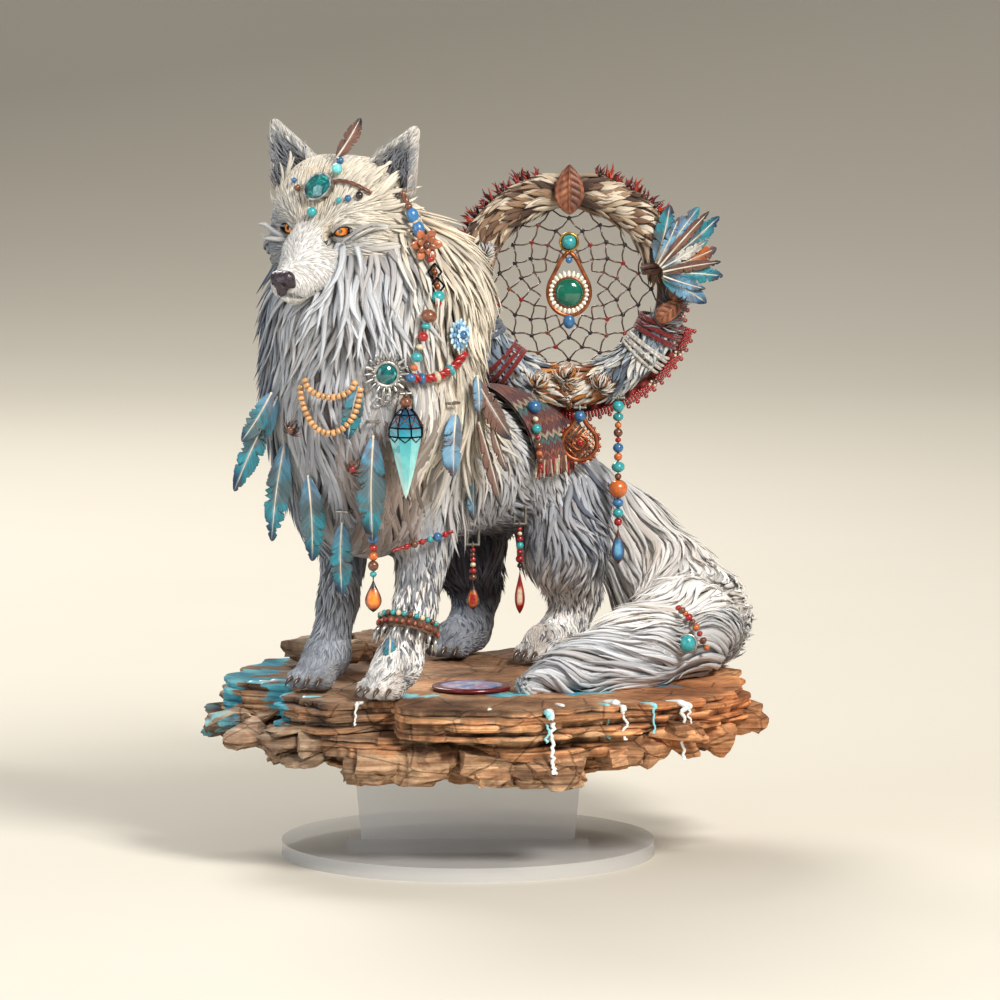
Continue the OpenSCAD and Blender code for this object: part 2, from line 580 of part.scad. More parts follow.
// Web: thread points on rings inside the hoop, each ring of eight turned half a step from the last
function web_point(k, i) = let (r = [hoop_r - rod_r - 2.4, 18, 13.2, 8.8][k], a = 45 * i + 22.5 * (k % 2))
    [r * cos(a), r * sin(a), 0];
module web_threads() {
    color([0.25, 0.2, 0.18]) at_hoop() {
        rotate_extrude($fn = 72) translate([hoop_r - wrap_r - 0.4, 0]) circle(r = 0.3, $fn = 16);
        for (k = [0:2], i = [0:7]) {
            rod(web_point(k, i), web_point(k + 1, i), 0.25);
            rod(web_point(k, i), web_point(k + 1, k % 2 == 0 ? i - 1 : i + 1), 0.25);
        }
    }
}
module web_beads() {
    color([0.45, 0.12, 0.1]) at_hoop() for (k = [1:2], i = [0:7])
        if (k == 1 || i % 4 != 2) translate(web_point(k, i)) sphere(r = 0.75, $fn = 20);
}
module web_pendant() {
    color([0.05, 0.55, 0.45]) at_hoop() translate([0, 0, 0.9]) {
        linear_extrude(1.6) polygon(concat([[0, 11.5]],
            [for (a = [40:-20:-220]) [5.8 * cos(a), 5.8 * sin(a) - 1]]));
        translate([0, -1, -0.6]) sphere(r = 4.2, $fn = 48);
        translate([0, 13.4, 0.8]) sphere(r = 2.2, $fn = 40);
        translate([0, -8.8, 0.8]) sphere(r = 1.9, $fn = 40);
    }
}
// A spray of feathers at the right of the hoop: the angle and length of each, one in front of the other
SPRAY = [[77, 20], [55, 23], [41, 25], [22, 19.5], [-3, 20], [-30, 17.5]];
spray_start = 3;      // from the middle of the spray to each quill
module hoop_feather_spray() {
    color([0.35, 0.6, 0.72]) for (i = [0:len(SPRAY) - 1])
        translate(hoop_at + [24, -6.7 - 1.05 * i, 5.6]) rotate([0, -90 - SPRAY[i][0], 0])
            translate([0, 0, -spray_start]) feather_plate(SPRAY[i][1] - spray_start, 2.8);
}

base_disc();
stand_tab();
rock_top_slab();
rock_middle_ledge();
rock_lower_ledge();
rubble_left();
rubble_front();
rubble_right();
rock_back_stones();
painted_shield();
foot_pins();
wolf_torso();
wolf_mane();
wolf_head();
left_ear();
right_ear();
nose();
eyes();
front_left_leg();
front_right_leg();
hind_left_leg();
hind_right_leg();
tail();
claws();
brow_setting();
brow_stone();
brow_beads();
brow_feather();
cheek_strand();
collar_cord();
collar_beads();
flower_rosette();
sun_setting();
sun_stone();
tan_bead_loops();
left_feather_fan();
flank_feathers();
chest_feather_short();
crystal_pendant();
long_feather();
leg_feather();
shoulder_feather();
front_drop();
belly_drop();
flank_drop();
leg_bracelet();
hanger_pins();
hoop_rod();
hide_wrap_upper();
hide_wrap_lower();
red_bead_band();
quill_fringe();
leaf_crest();
web_threads();
web_beads();
web_pendant();
hoop_feather_spray();
filigree_medallion();
long_bead_strand();
saddle_cloth();
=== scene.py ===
"""A wolf with a dreamcatcher on its back, on a layered rock held in a clear slotted stand.

Shapes are worked out in millimetres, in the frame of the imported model, and become metres when a mesh is made.
"""
import json
import math

import bpy
import numpy as np
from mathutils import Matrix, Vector


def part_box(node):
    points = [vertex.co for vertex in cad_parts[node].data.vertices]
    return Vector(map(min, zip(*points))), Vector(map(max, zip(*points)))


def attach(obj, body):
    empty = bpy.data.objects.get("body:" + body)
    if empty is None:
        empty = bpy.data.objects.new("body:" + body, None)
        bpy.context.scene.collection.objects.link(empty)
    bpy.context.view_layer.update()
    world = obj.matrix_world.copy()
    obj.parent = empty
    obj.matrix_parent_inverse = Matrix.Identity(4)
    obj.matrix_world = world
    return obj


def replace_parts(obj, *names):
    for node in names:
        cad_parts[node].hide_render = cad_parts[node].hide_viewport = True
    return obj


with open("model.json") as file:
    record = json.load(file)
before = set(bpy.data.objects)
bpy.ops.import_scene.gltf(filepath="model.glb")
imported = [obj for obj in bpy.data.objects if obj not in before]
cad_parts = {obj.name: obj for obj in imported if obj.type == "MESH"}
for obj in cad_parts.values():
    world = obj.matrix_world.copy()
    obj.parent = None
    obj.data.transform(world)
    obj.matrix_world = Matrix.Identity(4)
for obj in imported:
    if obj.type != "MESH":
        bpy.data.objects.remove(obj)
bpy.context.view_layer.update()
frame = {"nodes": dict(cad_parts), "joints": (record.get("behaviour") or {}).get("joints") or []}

MM = 0.001
FIGURE = "figure"


def box_mm(node):
    """The lowest and highest corner of a CAD node, in millimetres."""
    low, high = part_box(node)
    return np.array(low) / MM, np.array(high) / MM


def middle(node):
    low, high = box_mm(node)
    return (low + high) / 2


def pin_of(child):
    """The point in millimetres and the direction outwards of the hinge that carries a body."""
    joint = next(j for j in frame["joints"] if j["child"] == child)
    axis = joint["axis"]
    return np.array(joint["pos_m"]) / MM, np.array([-axis[1], axis[0], 0.0])


# ---- Numbers and vectors ----
def vec(*xyz):
    return np.array(xyz, float)


def unit(v):
    return v / np.maximum(np.linalg.norm(v, axis=-1, keepdims=True), 1e-9)


def dot(a, b):
    return (a * b).sum(-1)


def ramp(x, low, high):
    """0 below low, 1 above high, and smooth between them; low may be the larger one."""
    t = np.clip((x - low) / (high - low), 0, 1)
    return t * t * (3 - 2 * t)


def mix(a, b, t):
    t = np.asarray(t)[..., None] if np.ndim(t) else t
    return np.asarray(a) * (1 - t) + np.asarray(b) * t


def wobble(p, size, seed=0, octaves=3):
    """A smooth random number, about -1 to 1, for each point: sines of random direction."""
    draw = np.random.default_rng(seed)
    total = np.zeros(len(p))
    for octave in range(octaves):
        for _ in range(4):
            wave = unit(draw.normal(size=3)) * 2 * math.pi / size * 1.9**octave
            total += np.sin(p @ wave + draw.uniform(0, 6.28)) * 0.45 / 1.7**octave
    return total


def paint(r, g, b):
    """A colour picked on a screen, as linear light."""
    return np.array([r, g, b], float) ** 2.2


# ---- Meshes ----
def make(name, verts, faces, material, body=FIGURE, smooth=True, tint=None, strand=None):
    """A mesh object from vertices in millimetres and a list of face arrays, one array for each face size."""
    faces = [np.asarray(f, np.int32) for f in (faces if isinstance(faces, list) else [faces]) if len(f)]
    mesh = bpy.data.meshes.new(name)
    mesh.vertices.add(len(verts))
    mesh.vertices.foreach_set("co", (np.asarray(verts) * MM).ravel())
    loops = np.concatenate([f.ravel() for f in faces])
    sizes = np.concatenate([np.full(len(f), f.shape[1]) for f in faces])
    mesh.loops.add(len(loops))
    mesh.loops.foreach_set("vertex_index", loops)
    mesh.polygons.add(len(sizes))
    mesh.polygons.foreach_set("loop_start", np.concatenate([[0], np.cumsum(sizes)[:-1]]))
    mesh.polygons.foreach_set("use_smooth", np.full(len(sizes), smooth))
    if tint is not None:
        colour = np.ones((len(verts), 4))
        colour[:, :3] = tint
        mesh.attributes.new("tint", "FLOAT_COLOR", "POINT").data.foreach_set("color", colour.ravel())
    if strand is not None:
        mesh.attributes.new("strand", "FLOAT_VECTOR", "POINT").data.foreach_set("vector", strand.ravel())
    mesh.update(calc_edges=True)
    mesh.validate()
    mesh.materials.append(material)
    obj = bpy.data.objects.new(name, mesh)
    bpy.context.scene.collection.objects.link(obj)
    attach(obj, body)
    return obj


def joined(parts):
    """One (vertices, list of face arrays) from many."""
    verts, by_size, base = [], {}, 0
    for v, faces in parts:
        for f in faces if isinstance(faces, list) else [faces]:
            if len(f):
                by_size.setdefault(np.shape(f)[1], []).append(np.asarray(f) + base)
        verts.append(v)
        base += len(v)
    return np.vstack(verts), [np.vstack(f) for f in by_size.values()]


def ring_faces(rings, sides, closed=False):
    """Quads between rings of vertices laid out one after another."""
    r = np.arange(rings if closed else rings - 1)[:, None]
    s = np.arange(sides)[None, :]
    a, b = r * sides + s, r * sides + (s + 1) % sides
    c, d = ((r + 1) % rings) * sides + (s + 1) % sides, ((r + 1) % rings) * sides + s
    return np.stack([a, b, c, d], -1).reshape(-1, 4)


def grid_quads(rows, columns):
    """Quads of a sheet of vertices laid out row after row."""
    i, j = (g.ravel() for g in np.meshgrid(np.arange(rows - 1), np.arange(columns - 1), indexing="ij"))
    corner = i * columns + j
    return np.stack([corner, corner + 1, corner + columns + 1, corner + columns], -1)


def piece(name, parts, material, body=FIGURE, replaces=None):
    """One object from (mesh, colour) pairs."""
    verts, faces = joined([mesh for mesh, _ in parts])
    tint = np.vstack([np.broadcast_to(colour, (len(mesh[0]), 3)) for mesh, colour in parts])
    obj = make(name, verts, faces, material, body, tint=tint)
    if replaces:
        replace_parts(obj, replaces)
    return obj


def tube(points, radii, sides=8, up=None):
    """A closed tube along points, with its own radius at each."""
    points, radii = np.asarray(points, float), np.broadcast_to(radii, len(points))
    along = unit(np.gradient(points, axis=0))
    up = vec(0.13, 0.9, 0.4) if up is None else up
    side = unit(np.cross(along, up))
    top = np.cross(side, along)
    a = np.arange(sides) * 2 * math.pi / sides
    ring = side[:, None] * np.cos(a)[None, :, None] + top[:, None] * np.sin(a)[None, :, None]
    verts = (points[:, None] + ring * radii[:, None, None]).reshape(-1, 3)
    n = len(points)
    caps = np.array([np.arange(sides), (np.arange(sides) + (n - 1) * sides)[::-1]])
    return verts, [ring_faces(n, sides)[:, ::-1], caps]


# ---- Solid shapes as distance fields ----
def round_cone(p, a, b):
    """Distance from points to the hull of two balls, each x, y, z, radius."""
    a, b = np.asarray(a, float), np.asarray(b, float)
    ba, rr = b[:3] - a[:3], a[3] - b[3]
    l2 = ba @ ba
    a2, pa = l2 - rr * rr, p - a[:3]
    y = pa @ ba
    z = y - l2
    x2 = ((pa * l2 - y[:, None] * ba) ** 2).sum(1)
    k = np.sign(rr) * rr * rr * x2
    side = (np.sqrt(x2 * a2 / l2) + y * rr) / l2 - a[3]
    side = np.where(np.sign(y) * a2 * y * y * l2 < k, np.sqrt(x2 + y * y * l2) / l2 - a[3], side)
    return np.where(np.sign(z) * a2 * z * z * l2 > k, np.sqrt(x2 + z * z * l2) / l2 - b[3], side)


def blend_min(a, b, k):
    h = np.maximum(k - np.abs(a - b), 0) / k
    return np.minimum(a, b) - h * h * k / 4


def chain_field(p, balls, k=3.0):
    d = round_cone(p, balls[0], balls[1])
    for a, b in zip(balls[1:-1], balls[2:]):
        d = blend_min(d, round_cone(p, a, b), k)
    return d


def gradient(field, p, step=0.15):
    corners = vec(1, -1, -1), vec(-1, -1, 1), vec(-1, 1, -1), vec(1, 1, 1)
    return unit(sum(c * field(p + c * step)[:, None] for c in corners))


def grid_surface(field, low, high, step):
    """The closed quad mesh where the field is zero: one vertex in each grid cell that it crosses."""
    axes = [np.arange(a, b + step, step) for a, b in zip(low, high)]
    plane = np.stack(np.meshgrid(axes[1], axes[2], indexing="ij"), -1).reshape(-1, 2)
    d = np.stack([field(np.column_stack([np.full(len(plane), x), plane])) for x in axes[0]])
    d = d.reshape([len(a) for a in axes])
    cells = np.array(d.shape) - 1
    total, count = np.zeros((*cells, 3), np.float32), np.zeros(cells, np.int8)
    for corner in np.ndindex(2, 2, 2):
        for axis in range(3):
            if corner[axis]:
                continue
            other = tuple(1 if i == axis else c for i, c in enumerate(corner))
            near, far = (d[tuple(slice(o, o + n) for o, n in zip(c, cells))] for c in (corner, other))
            cross = (near < 0) != (far < 0)
            total[cross] += corner
            total[..., axis][cross] += near[cross] / (near[cross] - far[cross])
            count += cross
    used = count > 0
    index = np.full(cells, -1)
    index[used] = np.arange(used.sum())
    verts = (np.argwhere(used) + total[used] / count[used][:, None]) * step + np.asarray(low)
    faces = []
    for axis in range(3):
        u, v = (axis + 1) % 3, (axis + 2) % 3

        def cut(array, along, back_u, back_v):
            part = [slice(None)] * 3
            part[axis] = along
            part[u] = slice(0, -1) if back_u else slice(1, None)
            part[v] = slice(0, -1) if back_v else slice(1, None)
            return array[tuple(part)]

        inner = [slice(1, -1)] * 3
        inner[axis] = slice(0, -1)
        outer = list(inner)
        outer[axis] = slice(1, None)
        near, far = d[tuple(inner)] < 0, d[tuple(outer)] < 0
        cross = near != far
        whole = slice(None)
        quad = np.stack([cut(index, whole, *b)[cross] for b in ((0, 0), (1, 0), (1, 1), (0, 1))], -1)
        faces.append(np.where(near[cross][:, None], quad, quad[:, ::-1]))
    verts = verts - field(verts)[:, None] * gradient(field, verts)
    return verts, np.vstack(faces)


# ---- The wolf's masses, as in the CAD model ----
ROCK_TOP = box_mm("painted_shield")[0][2] - 0.1
HEADING, HEAD_TURN = math.radians(30), math.radians(3)
WOLF_AT = vec(-11, 5, ROCK_TOP)
HEAD_IN_WOLF = vec(-3.5, -43.6, 136.7)
TORSO = [[0, -26, 62, 24], [0, 5, 61, 22], [0, 32, 58, 19.5], [0, 53, 56, 20]]
MANE = [[0, -36, 58, 19.5], [2, -34, 82, 28.5], [1, -33, 104, 28], [2, -20, 108, 24], [0, -37, 119, 21]]
LEGS = {
    "front_left_leg": [[13, -24, 46, 10], [12.5, -29, 24, 6.4], [11, -36, 9, 6.2], [10.3, -41, 5.5, 5.8]],
    "front_right_leg": [[-14, -21, 46, 9], [-16, -23, 24, 6], [-16.5, -28, 9, 5.9], [-17, -33, 5.5, 5.6]],
    "hind_left_leg": [[13, 52, 48, 15], [16, 47, 36, 12.5], [15, 58, 18, 6.5], [13, 53, 7, 6.3],
                      [12, 44, 5.5, 6]],
    "hind_right_leg": [[-12, 52, 46, 14], [-16, 46, 34, 12], [-17, 56, 17, 6.3], [-16, 50, 7, 6],
                       [-16, 41, 5.5, 5.8]],
}
TAIL = [[31, 66, 50, 9], [44, 66, 34, 11.5], [57, 57, 20, 13], [64, 40, 13.5, 13], [61, 18, 12.8, 12.4],
        [47, -3, 9.6, 9], [30, -14, 5, 4.6], [19, -20, 2.6, 2]]
EYE, EYE_R = vec(8, -8.4, -5.6), 3.2


def turned(p, angle):
    """Points turned about +Z."""
    c, s = math.cos(angle), math.sin(angle)
    return np.stack([p[..., 0] * c - p[..., 1] * s, p[..., 0] * s + p[..., 1] * c, p[..., 2]], -1)


def to_wolf(p):
    return turned(p - WOLF_AT, HEADING)


def from_wolf(q):
    return turned(np.asarray(q, float), -HEADING) + WOLF_AT


def to_head(p):
    return turned(to_wolf(p) - HEAD_IN_WOLF, HEAD_TURN)


def from_head(q):
    return from_wolf(turned(np.asarray(q, float), -HEAD_TURN) + HEAD_IN_WOLF)


def leg_field(q, name):
    """A leg with its four toes, in the wolf's frame."""
    balls = LEGS[name]
    d = chain_field(q, balls, 4)
    x, y = balls[-1][:2]
    for i in (-1.5, -0.5, 0.5, 1.5):
        toe = round_cone(q, [x + i * 1.8, y, 3.6, 3], [x + i * 3.1, y - 6 + abs(i) * 1.2, 2.8, 2.5])
        d = blend_min(d, toe, 0.8)
    return d


def body_parts(p):
    """The distance to each part of the body, by name."""
    q = to_wolf(p)
    parts = {"torso": chain_field(q, TORSO, 6), "mane": chain_field(q, MANE, 8)}
    parts.update({name: leg_field(q, name) for name in LEGS})
    parts["tail"] = chain_field(p - vec(0, 0, ROCK_TOP), TAIL, 6)
    return parts


def body_field(p):
    parts = body_parts(p)
    d = blend_min(parts["torso"], parts["mane"], 8)
    for name in LEGS:
        d = blend_min(d, parts[name], 5)
    return np.maximum(blend_min(d, parts["tail"], 2), ROCK_TOP + 0.15 - p[:, 2])


HEAD_BALLS = [([-5, 3, 1, 13.5], [5, 3, 1, 13.5]), ([0, -3, -5, 9], [0, -14, -11, 7]),
              ([0, -13, -12, 7], [0, -22.4, -18, 4.6]), ([0, -10, -16, 7], [0, -21, -22, 4]),
              ([0, -1, -9, 12.5], [0, -12, -14, 8])]
CHEEK = [7, 2, -2, 12.5], [9.5, -2, -10, 10.5]
EYE_OUT = unit(vec(0.5, -1, 0.08))
EYE_ALONG = unit(np.cross(vec(0.1, 0, -1), EYE_OUT)) * -1
EYE_UP = np.cross(EYE_ALONG, EYE_OUT)
EYE_UP *= np.sign(EYE_UP[2])
EYE_ALONG *= np.sign(EYE_ALONG[0])


def mirrored(q):
    return np.column_stack([np.abs(q[:, 0]), q[:, 1:]])


def head_mass(q):
    """The head without eyes and mouth, in the head's frame, about a fur's depth inside the CAD head."""
    m = mirrored(q)
    d = round_cone(m, *CHEEK) + 0.8
    for a, b in HEAD_BALLS:
        d = blend_min(d, round_cone(q, a, b) + 0.8, 4)
    brow = round_cone(m, [4.2, -9.3, -2.2, 2.2], [9.6, -8.2, -0.4, 2.6])
    flews = round_cone(m, [3, -22, -20, 3.4], [4.6, -14, -16.5, 4.4])
    d = blend_min(blend_min(d, brow, 2.5), flews, 2)
    hollow = 3.1 - np.linalg.norm((m - vec(7.2, -12.3, -7.2)) * vec(0.85, 1, 1), axis=1)
    h = np.maximum(2.5 - np.abs(d - hollow), 0) / 2.5
    d = np.maximum(d, hollow) + h * h * 2.5 / 4
    return blend_min(d, np.linalg.norm(m - EYE, axis=1) - EYE_R - 0.45, 1.2)


def settle(q, field, times=5):
    """Points moved on to the surface of a field."""
    for _ in range(times):
        q = q - field(q)[:, None] * gradient(field, q)
    return q


def eye_slit(m):
    """Below zero inside the almond between the lids, in the mirrored head frame."""
    e = m - EYE
    u, v, w = e @ EYE_ALONG, e @ EYE_UP, e @ EYE_OUT
    arc = v - 0.12 * u + 0.05 * u * u - 0.1
    gap = np.where(arc > 0, arc / 0.95, -arc / 1.25) - np.maximum(1 - (u / 2.75) ** 2, 0)
    return np.where(w > 0, gap, 3.0)


MOUTH = settle(vec([0, -27, -23.4], [2.6, -26, -23.6], [5.2, -21, -21.8], [7, -16, -19.6],
                   [8.6, -11.5, -16.6], [9.6, -8.6, -14.2]), head_mass)


def line_distance(m, points):
    best = np.full(len(m), 1e9)
    for a, b in zip(points[:-1], points[1:]):
        t = np.clip((m - a) @ (b - a) / dot(b - a, b - a), 0, 1)
        best = np.minimum(best, np.linalg.norm(m - a - t[:, None] * (b - a), axis=1))
    return best


def head_field(q):
    m = mirrored(q)
    d = head_mass(q)
    d = np.where(np.linalg.norm(m - EYE, axis=1) < 4.6, np.maximum(d, -eye_slit(m) * 0.9), d)
    groove = 0.75 - line_distance(m, MOUTH)
    h = np.maximum(0.5 - np.abs(d - groove), 0) / 0.5
    return np.maximum(d, groove) + h * h * 0.125


def head_world(p):
    return head_mass(to_head(p))


EAR = vec([11.5, 3, 11], [20, 3, 6], [23, 3.5, 21.5])


def ear_field(m, corners=EAR, radii=(3.2, 3.2, 1.3)):
    """Distance to the hull of three balls, near enough, in the mirrored head frame."""
    a, b, c = corners
    n = unit(np.cross(b - a, c - a))
    flat = m - ((m - a) @ n)[:, None] * n
    area = np.cross(b - a, c - a) @ n
    w = np.column_stack([np.cross(c - b, flat - b) @ n, np.cross(a - c, flat - c) @ n,
                         np.cross(b - a, flat - a) @ n]) / area
    inside = (w >= 0).all(1)
    best = np.where(inside, np.abs((m - a) @ n), 1e9)
    point = np.where(inside[:, None], flat, 0)
    for s, e in ((a, b), (b, c), (c, a)):
        t = np.clip((m - s) @ (e - s) / dot(e - s, e - s), 0, 1)
        q = s + t[:, None] * (e - s)
        d = np.linalg.norm(m - q, axis=1)
        closer = ~inside & (d < best)
        best, point = np.where(closer, d, best), np.where(closer[:, None], q, point)
    w = np.column_stack([np.cross(c - b, point - b) @ n, np.cross(a - c, point - c) @ n,
                         np.cross(b - a, point - a) @ n]) / area
    return best - np.clip(w, 0, 1) @ np.array(radii)


def ear_shell(q):
    """A cupped ear: open to the front, thin at its rim."""
    m = mirrored(q)
    inner = EAR * 0.84 + EAR.mean(0) * 0.16 + vec(-0.3, -2.6, -0.4)
    cup = ear_field(m, inner, (2.5, 2.9, 1.2))
    d, c = ear_field(m), -cup
    h = np.maximum(0.6 - np.abs(d - c), 0) / 0.6
    return np.maximum(d, c) + h * h * 0.15


# ---- Materials ----
class Shader:
    """A material built from nodes, around one Principled BSDF."""

    def __init__(self, name, **values):
        self.material = bpy.data.materials.new(name)
        self.material.use_nodes = True
        self.tree = self.material.node_tree
        self.surface = self.tree.nodes["Principled BSDF"]
        self.put(self.surface, values)

    def put(self, node, values):
        for key, value in values.items():
            socket = node.inputs[int(key[1:]) if key[0] == "_" and key[1:].isdigit()
                                 else key.replace("_", " ")]
            if isinstance(value, bpy.types.NodeSocket):
                self.tree.links.new(value, socket)
            elif socket.type == "RGBA":
                socket.default_value = (*value, 1)
            else:
                socket.default_value = value

    def node(self, kind, settings=None, **values):
        node = self.tree.nodes.new("ShaderNode" + kind)
        for key, value in (settings or {}).items():
            setattr(node, key, value)
        self.put(node, values)
        return node

    def look(self, **values):
        self.put(self.surface, values)
        return self.material

    def place(self):
        return self.node("TexCoord").outputs["Object"]

    def attribute(self, name, output="Vector"):
        return self.node("Attribute", {"attribute_name": name}).outputs[output]

    def scaled(self, vector, xyz):
        return self.node("VectorMath", {"operation": "MULTIPLY"}, _0=vector, _1=xyz).outputs[0]

    def noise(self, scale, vector=None, detail=4.0, rough=0.55, bend=0.0):
        values = dict(Vector=vector or self.place(), Scale=scale, Detail=detail, Roughness=rough,
                      Distortion=bend)
        return self.node("TexNoise", **values).outputs["Fac"]

    def cells(self, scale, feature="F1", vector=None, output="Distance"):
        node = self.node("TexVoronoi", {"feature": feature}, Vector=vector or self.place(), Scale=scale)
        return node.outputs[output]

    def ramp(self, fac, *stops):
        """stops: (place, colour or grey)"""
        node = self.node("ValToRGB", _0=fac)
        ramp = node.color_ramp
        while len(ramp.elements) < len(stops):
            ramp.elements.new(0.5)
        for element, (at, colour) in zip(ramp.elements, stops):
            element.position = at
            element.color = (*(colour if np.ndim(colour) else [colour] * 3), 1)
        return node.outputs["Color"]

    def mixed(self, fac, a, b, kind="MIX"):
        node = self.node("Mix", {"data_type": "RGBA", "blend_type": kind})
        self.put(node, {"_0": fac, "_6": a, "_7": b})
        return node.outputs[2]

    def tinted(self, fac, *stops):
        """The piece's own tint, times a pattern."""
        return self.mixed(1.0, self.attribute("tint", "Color"), self.ramp(fac, *stops), "MULTIPLY")

    def sum(self, operation, a, b):
        return self.node("Math", {"operation": operation}, _0=a, _1=b).outputs[0]

    def bump(self, height, depth, strength=1.0, normal=None):
        node = self.node("Bump", Height=height, Distance=depth, Strength=strength)
        if normal:
            self.put(node, {"Normal": normal})
        return node.outputs["Normal"]


def fur_material(name, root=0.3, streak=0.5, rough=0.62, edge_shade=0.8):
    """Hair in locks: its colour from tint, darker at the roots and along each lock's sides as painted shade
    between the locks, lighter at the tips as painted light, and streaked along each lock.
    """
    s = Shader(name, Roughness=rough, Specular_IOR_Level=0.25, Sheen_Weight=0.15)
    strand = s.attribute("strand")
    streaks = s.noise(1.0, s.scaled(strand, (14, 1.3, 37)), 3.0, 0.6)
    across, along, _ = s.node("SeparateXYZ", _0=strand).outputs
    # Painted shade at each lock's root, where it lies under the others, and painted light at its tip.
    colour = s.tinted(along, (0.0, root), (0.3, 0.7), (0.65, 1.0), (1.0, 1.15))
    # Painted shade along the sides of each lock, where the locks meet.
    edge = s.ramp(s.sum("ABSOLUTE", across, 0.0), (0.3, 1.0), (0.5, 0.5))
    colour = s.mixed(edge_shade, colour, edge, "MULTIPLY")
    dark = s.ramp(streaks, (0.3, 1 - streak), (0.5, 0.95), (0.7, 1.12))
    colour = s.mixed(1.0, colour, dark, "MULTIPLY")
    return s.look(Base_Color=colour, Normal=s.bump(streaks, 0.0005, 0.55))


def skin_material(name):
    """The short dense hair under the locks."""
    s = Shader(name, Roughness=0.75, Specular_IOR_Level=0.2)
    grain = s.noise(900, s.scaled(s.place(), (1, 1, 0.3)), 3.0)
    return s.look(Base_Color=s.tinted(grain, (0.3, 0.55), (0.7, 1.1)), Normal=s.bump(grain, 0.0004, 0.5))


# ---- Fur ----
def thinned(p, cell, seed=0):
    """About one point for each cell of a grid, by index."""
    draw = np.random.default_rng(seed)
    order = draw.permutation(len(p))
    key = np.floor(p[order] / cell).astype(np.int64)
    _, first = np.unique(key @ np.array([1, 4099, 4099 * 4099]), return_index=True)
    return order[first]


def locks(roots, flow, field, length, width, lay=0.4, lift=0.0, rings=8, sides=8, curl=0.25, sink=0.6, seed=1,
          spread=0.2, flat=0.5, drift=0.3):
    """Closed tapered locks of hair that lie over a surface along a flow.

    Returns vertices, faces, strand coordinates (across, along, lock) and the number of each vertex's lock.
    """
    draw = np.random.default_rng(seed)
    n = len(roots)
    length = length * draw.uniform(0.8, 1.2, n)
    width = width * draw.uniform(0.75, 1.2, n)
    lift = lift * draw.uniform(0.3, 1.3, n)
    spin, phase = draw.normal(0, spread, n), draw.uniform(0, 6.28, n)
    ts = np.linspace(0, 1, rings + 1)
    normal = gradient(field, roots)
    p = roots - normal * sink
    angle = np.arange(sides) * 2 * math.pi / sides
    ridge = np.where(np.arange(sides) % 2, 0.84, 1.0)
    verts, strand = [], []
    for t in ts:
        f = flow(p)
        tangent = unit(f - dot(f, normal)[:, None] * normal)
        side = np.cross(tangent, normal)
        wave = spin * (1 - 0.5 * t) + curl * np.sin(phase + t * 4.2) + drift * wobble(p, 34, 77, 2)
        tangent = unit(tangent + side * wave[:, None])
        side = unit(np.cross(tangent, normal))
        r = width * ((t + 0.06) ** 0.45 * (1 - t) ** 0.8 * 1.75 + 0.012)
        across = side[:, None] * (np.cos(angle) * ridge)[None, :, None]
        above = np.cross(side, tangent)[:, None] * (np.sin(angle) * ridge * flat)[None, :, None]
        verts.append(p[:, None] + (across + above) * r[:, None, None])
        strand.append(np.stack([np.broadcast_to(np.cos(angle) * 0.5, (n, sides)), np.full((n, sides), t),
                                np.broadcast_to((phase / 6.28)[:, None], (n, sides))], -1))
        p = p + tangent * (length / rings)[:, None]
        t_next = t + 1 / rings
        wanted = -sink + (sink + lay * width) * ramp(t_next, 0, 0.45) + lift * t_next**2
        normal = gradient(field, p)
        p = p + normal * np.clip(wanted - field(p), -3, 3)[:, None] * 0.85
    verts = np.stack(verts, 1).reshape(-1, 3)
    strand = np.stack(strand, 1).reshape(-1, 3)
    per = (rings + 1) * sides
    base = (np.arange(n) * per)[:, None, None]
    quads = (ring_faces(rings + 1, sides)[None] + base).reshape(-1, 4)
    caps = np.array([np.arange(sides)[::-1], np.arange(sides) + rings * sides])
    caps = (caps[None] + base).reshape(-1, sides)
    return verts, [quads, caps], strand, np.repeat(np.arange(n), per)


def fur_piece(name, roots, flow, field, colour, length, width, material=None, **options):
    """Locks as one object; colour gives each lock's tint from its root."""
    verts, faces, strand, lock = locks(roots, flow, field, length, width, **options)
    tint = colour(roots)
    draw = np.random.default_rng(options.get("seed", 1) + 100)
    tint = tint * draw.normal(1, 0.09, (len(roots), 1)).clip(0.7, 1.25)
    return make(name, verts, faces, material or FUR, tint=tint[lock], strand=strand)


FUR = fur_material("wolf_fur")
FACE_FUR = fur_material("wolf_face_fur", 0.72, 0.28, 0.66, 0.45)
SKIN = skin_material("wolf_undercoat")

CREAM, WHITE = paint(0.9, 0.86, 0.79), paint(0.9, 0.89, 0.88)
SILVER, ASH, SLATE = paint(0.78, 0.79, 0.81), paint(0.6, 0.62, 0.66), paint(0.42, 0.46, 0.52)
UMBER, DUSK = paint(0.5, 0.42, 0.37), paint(0.22, 0.22, 0.26)


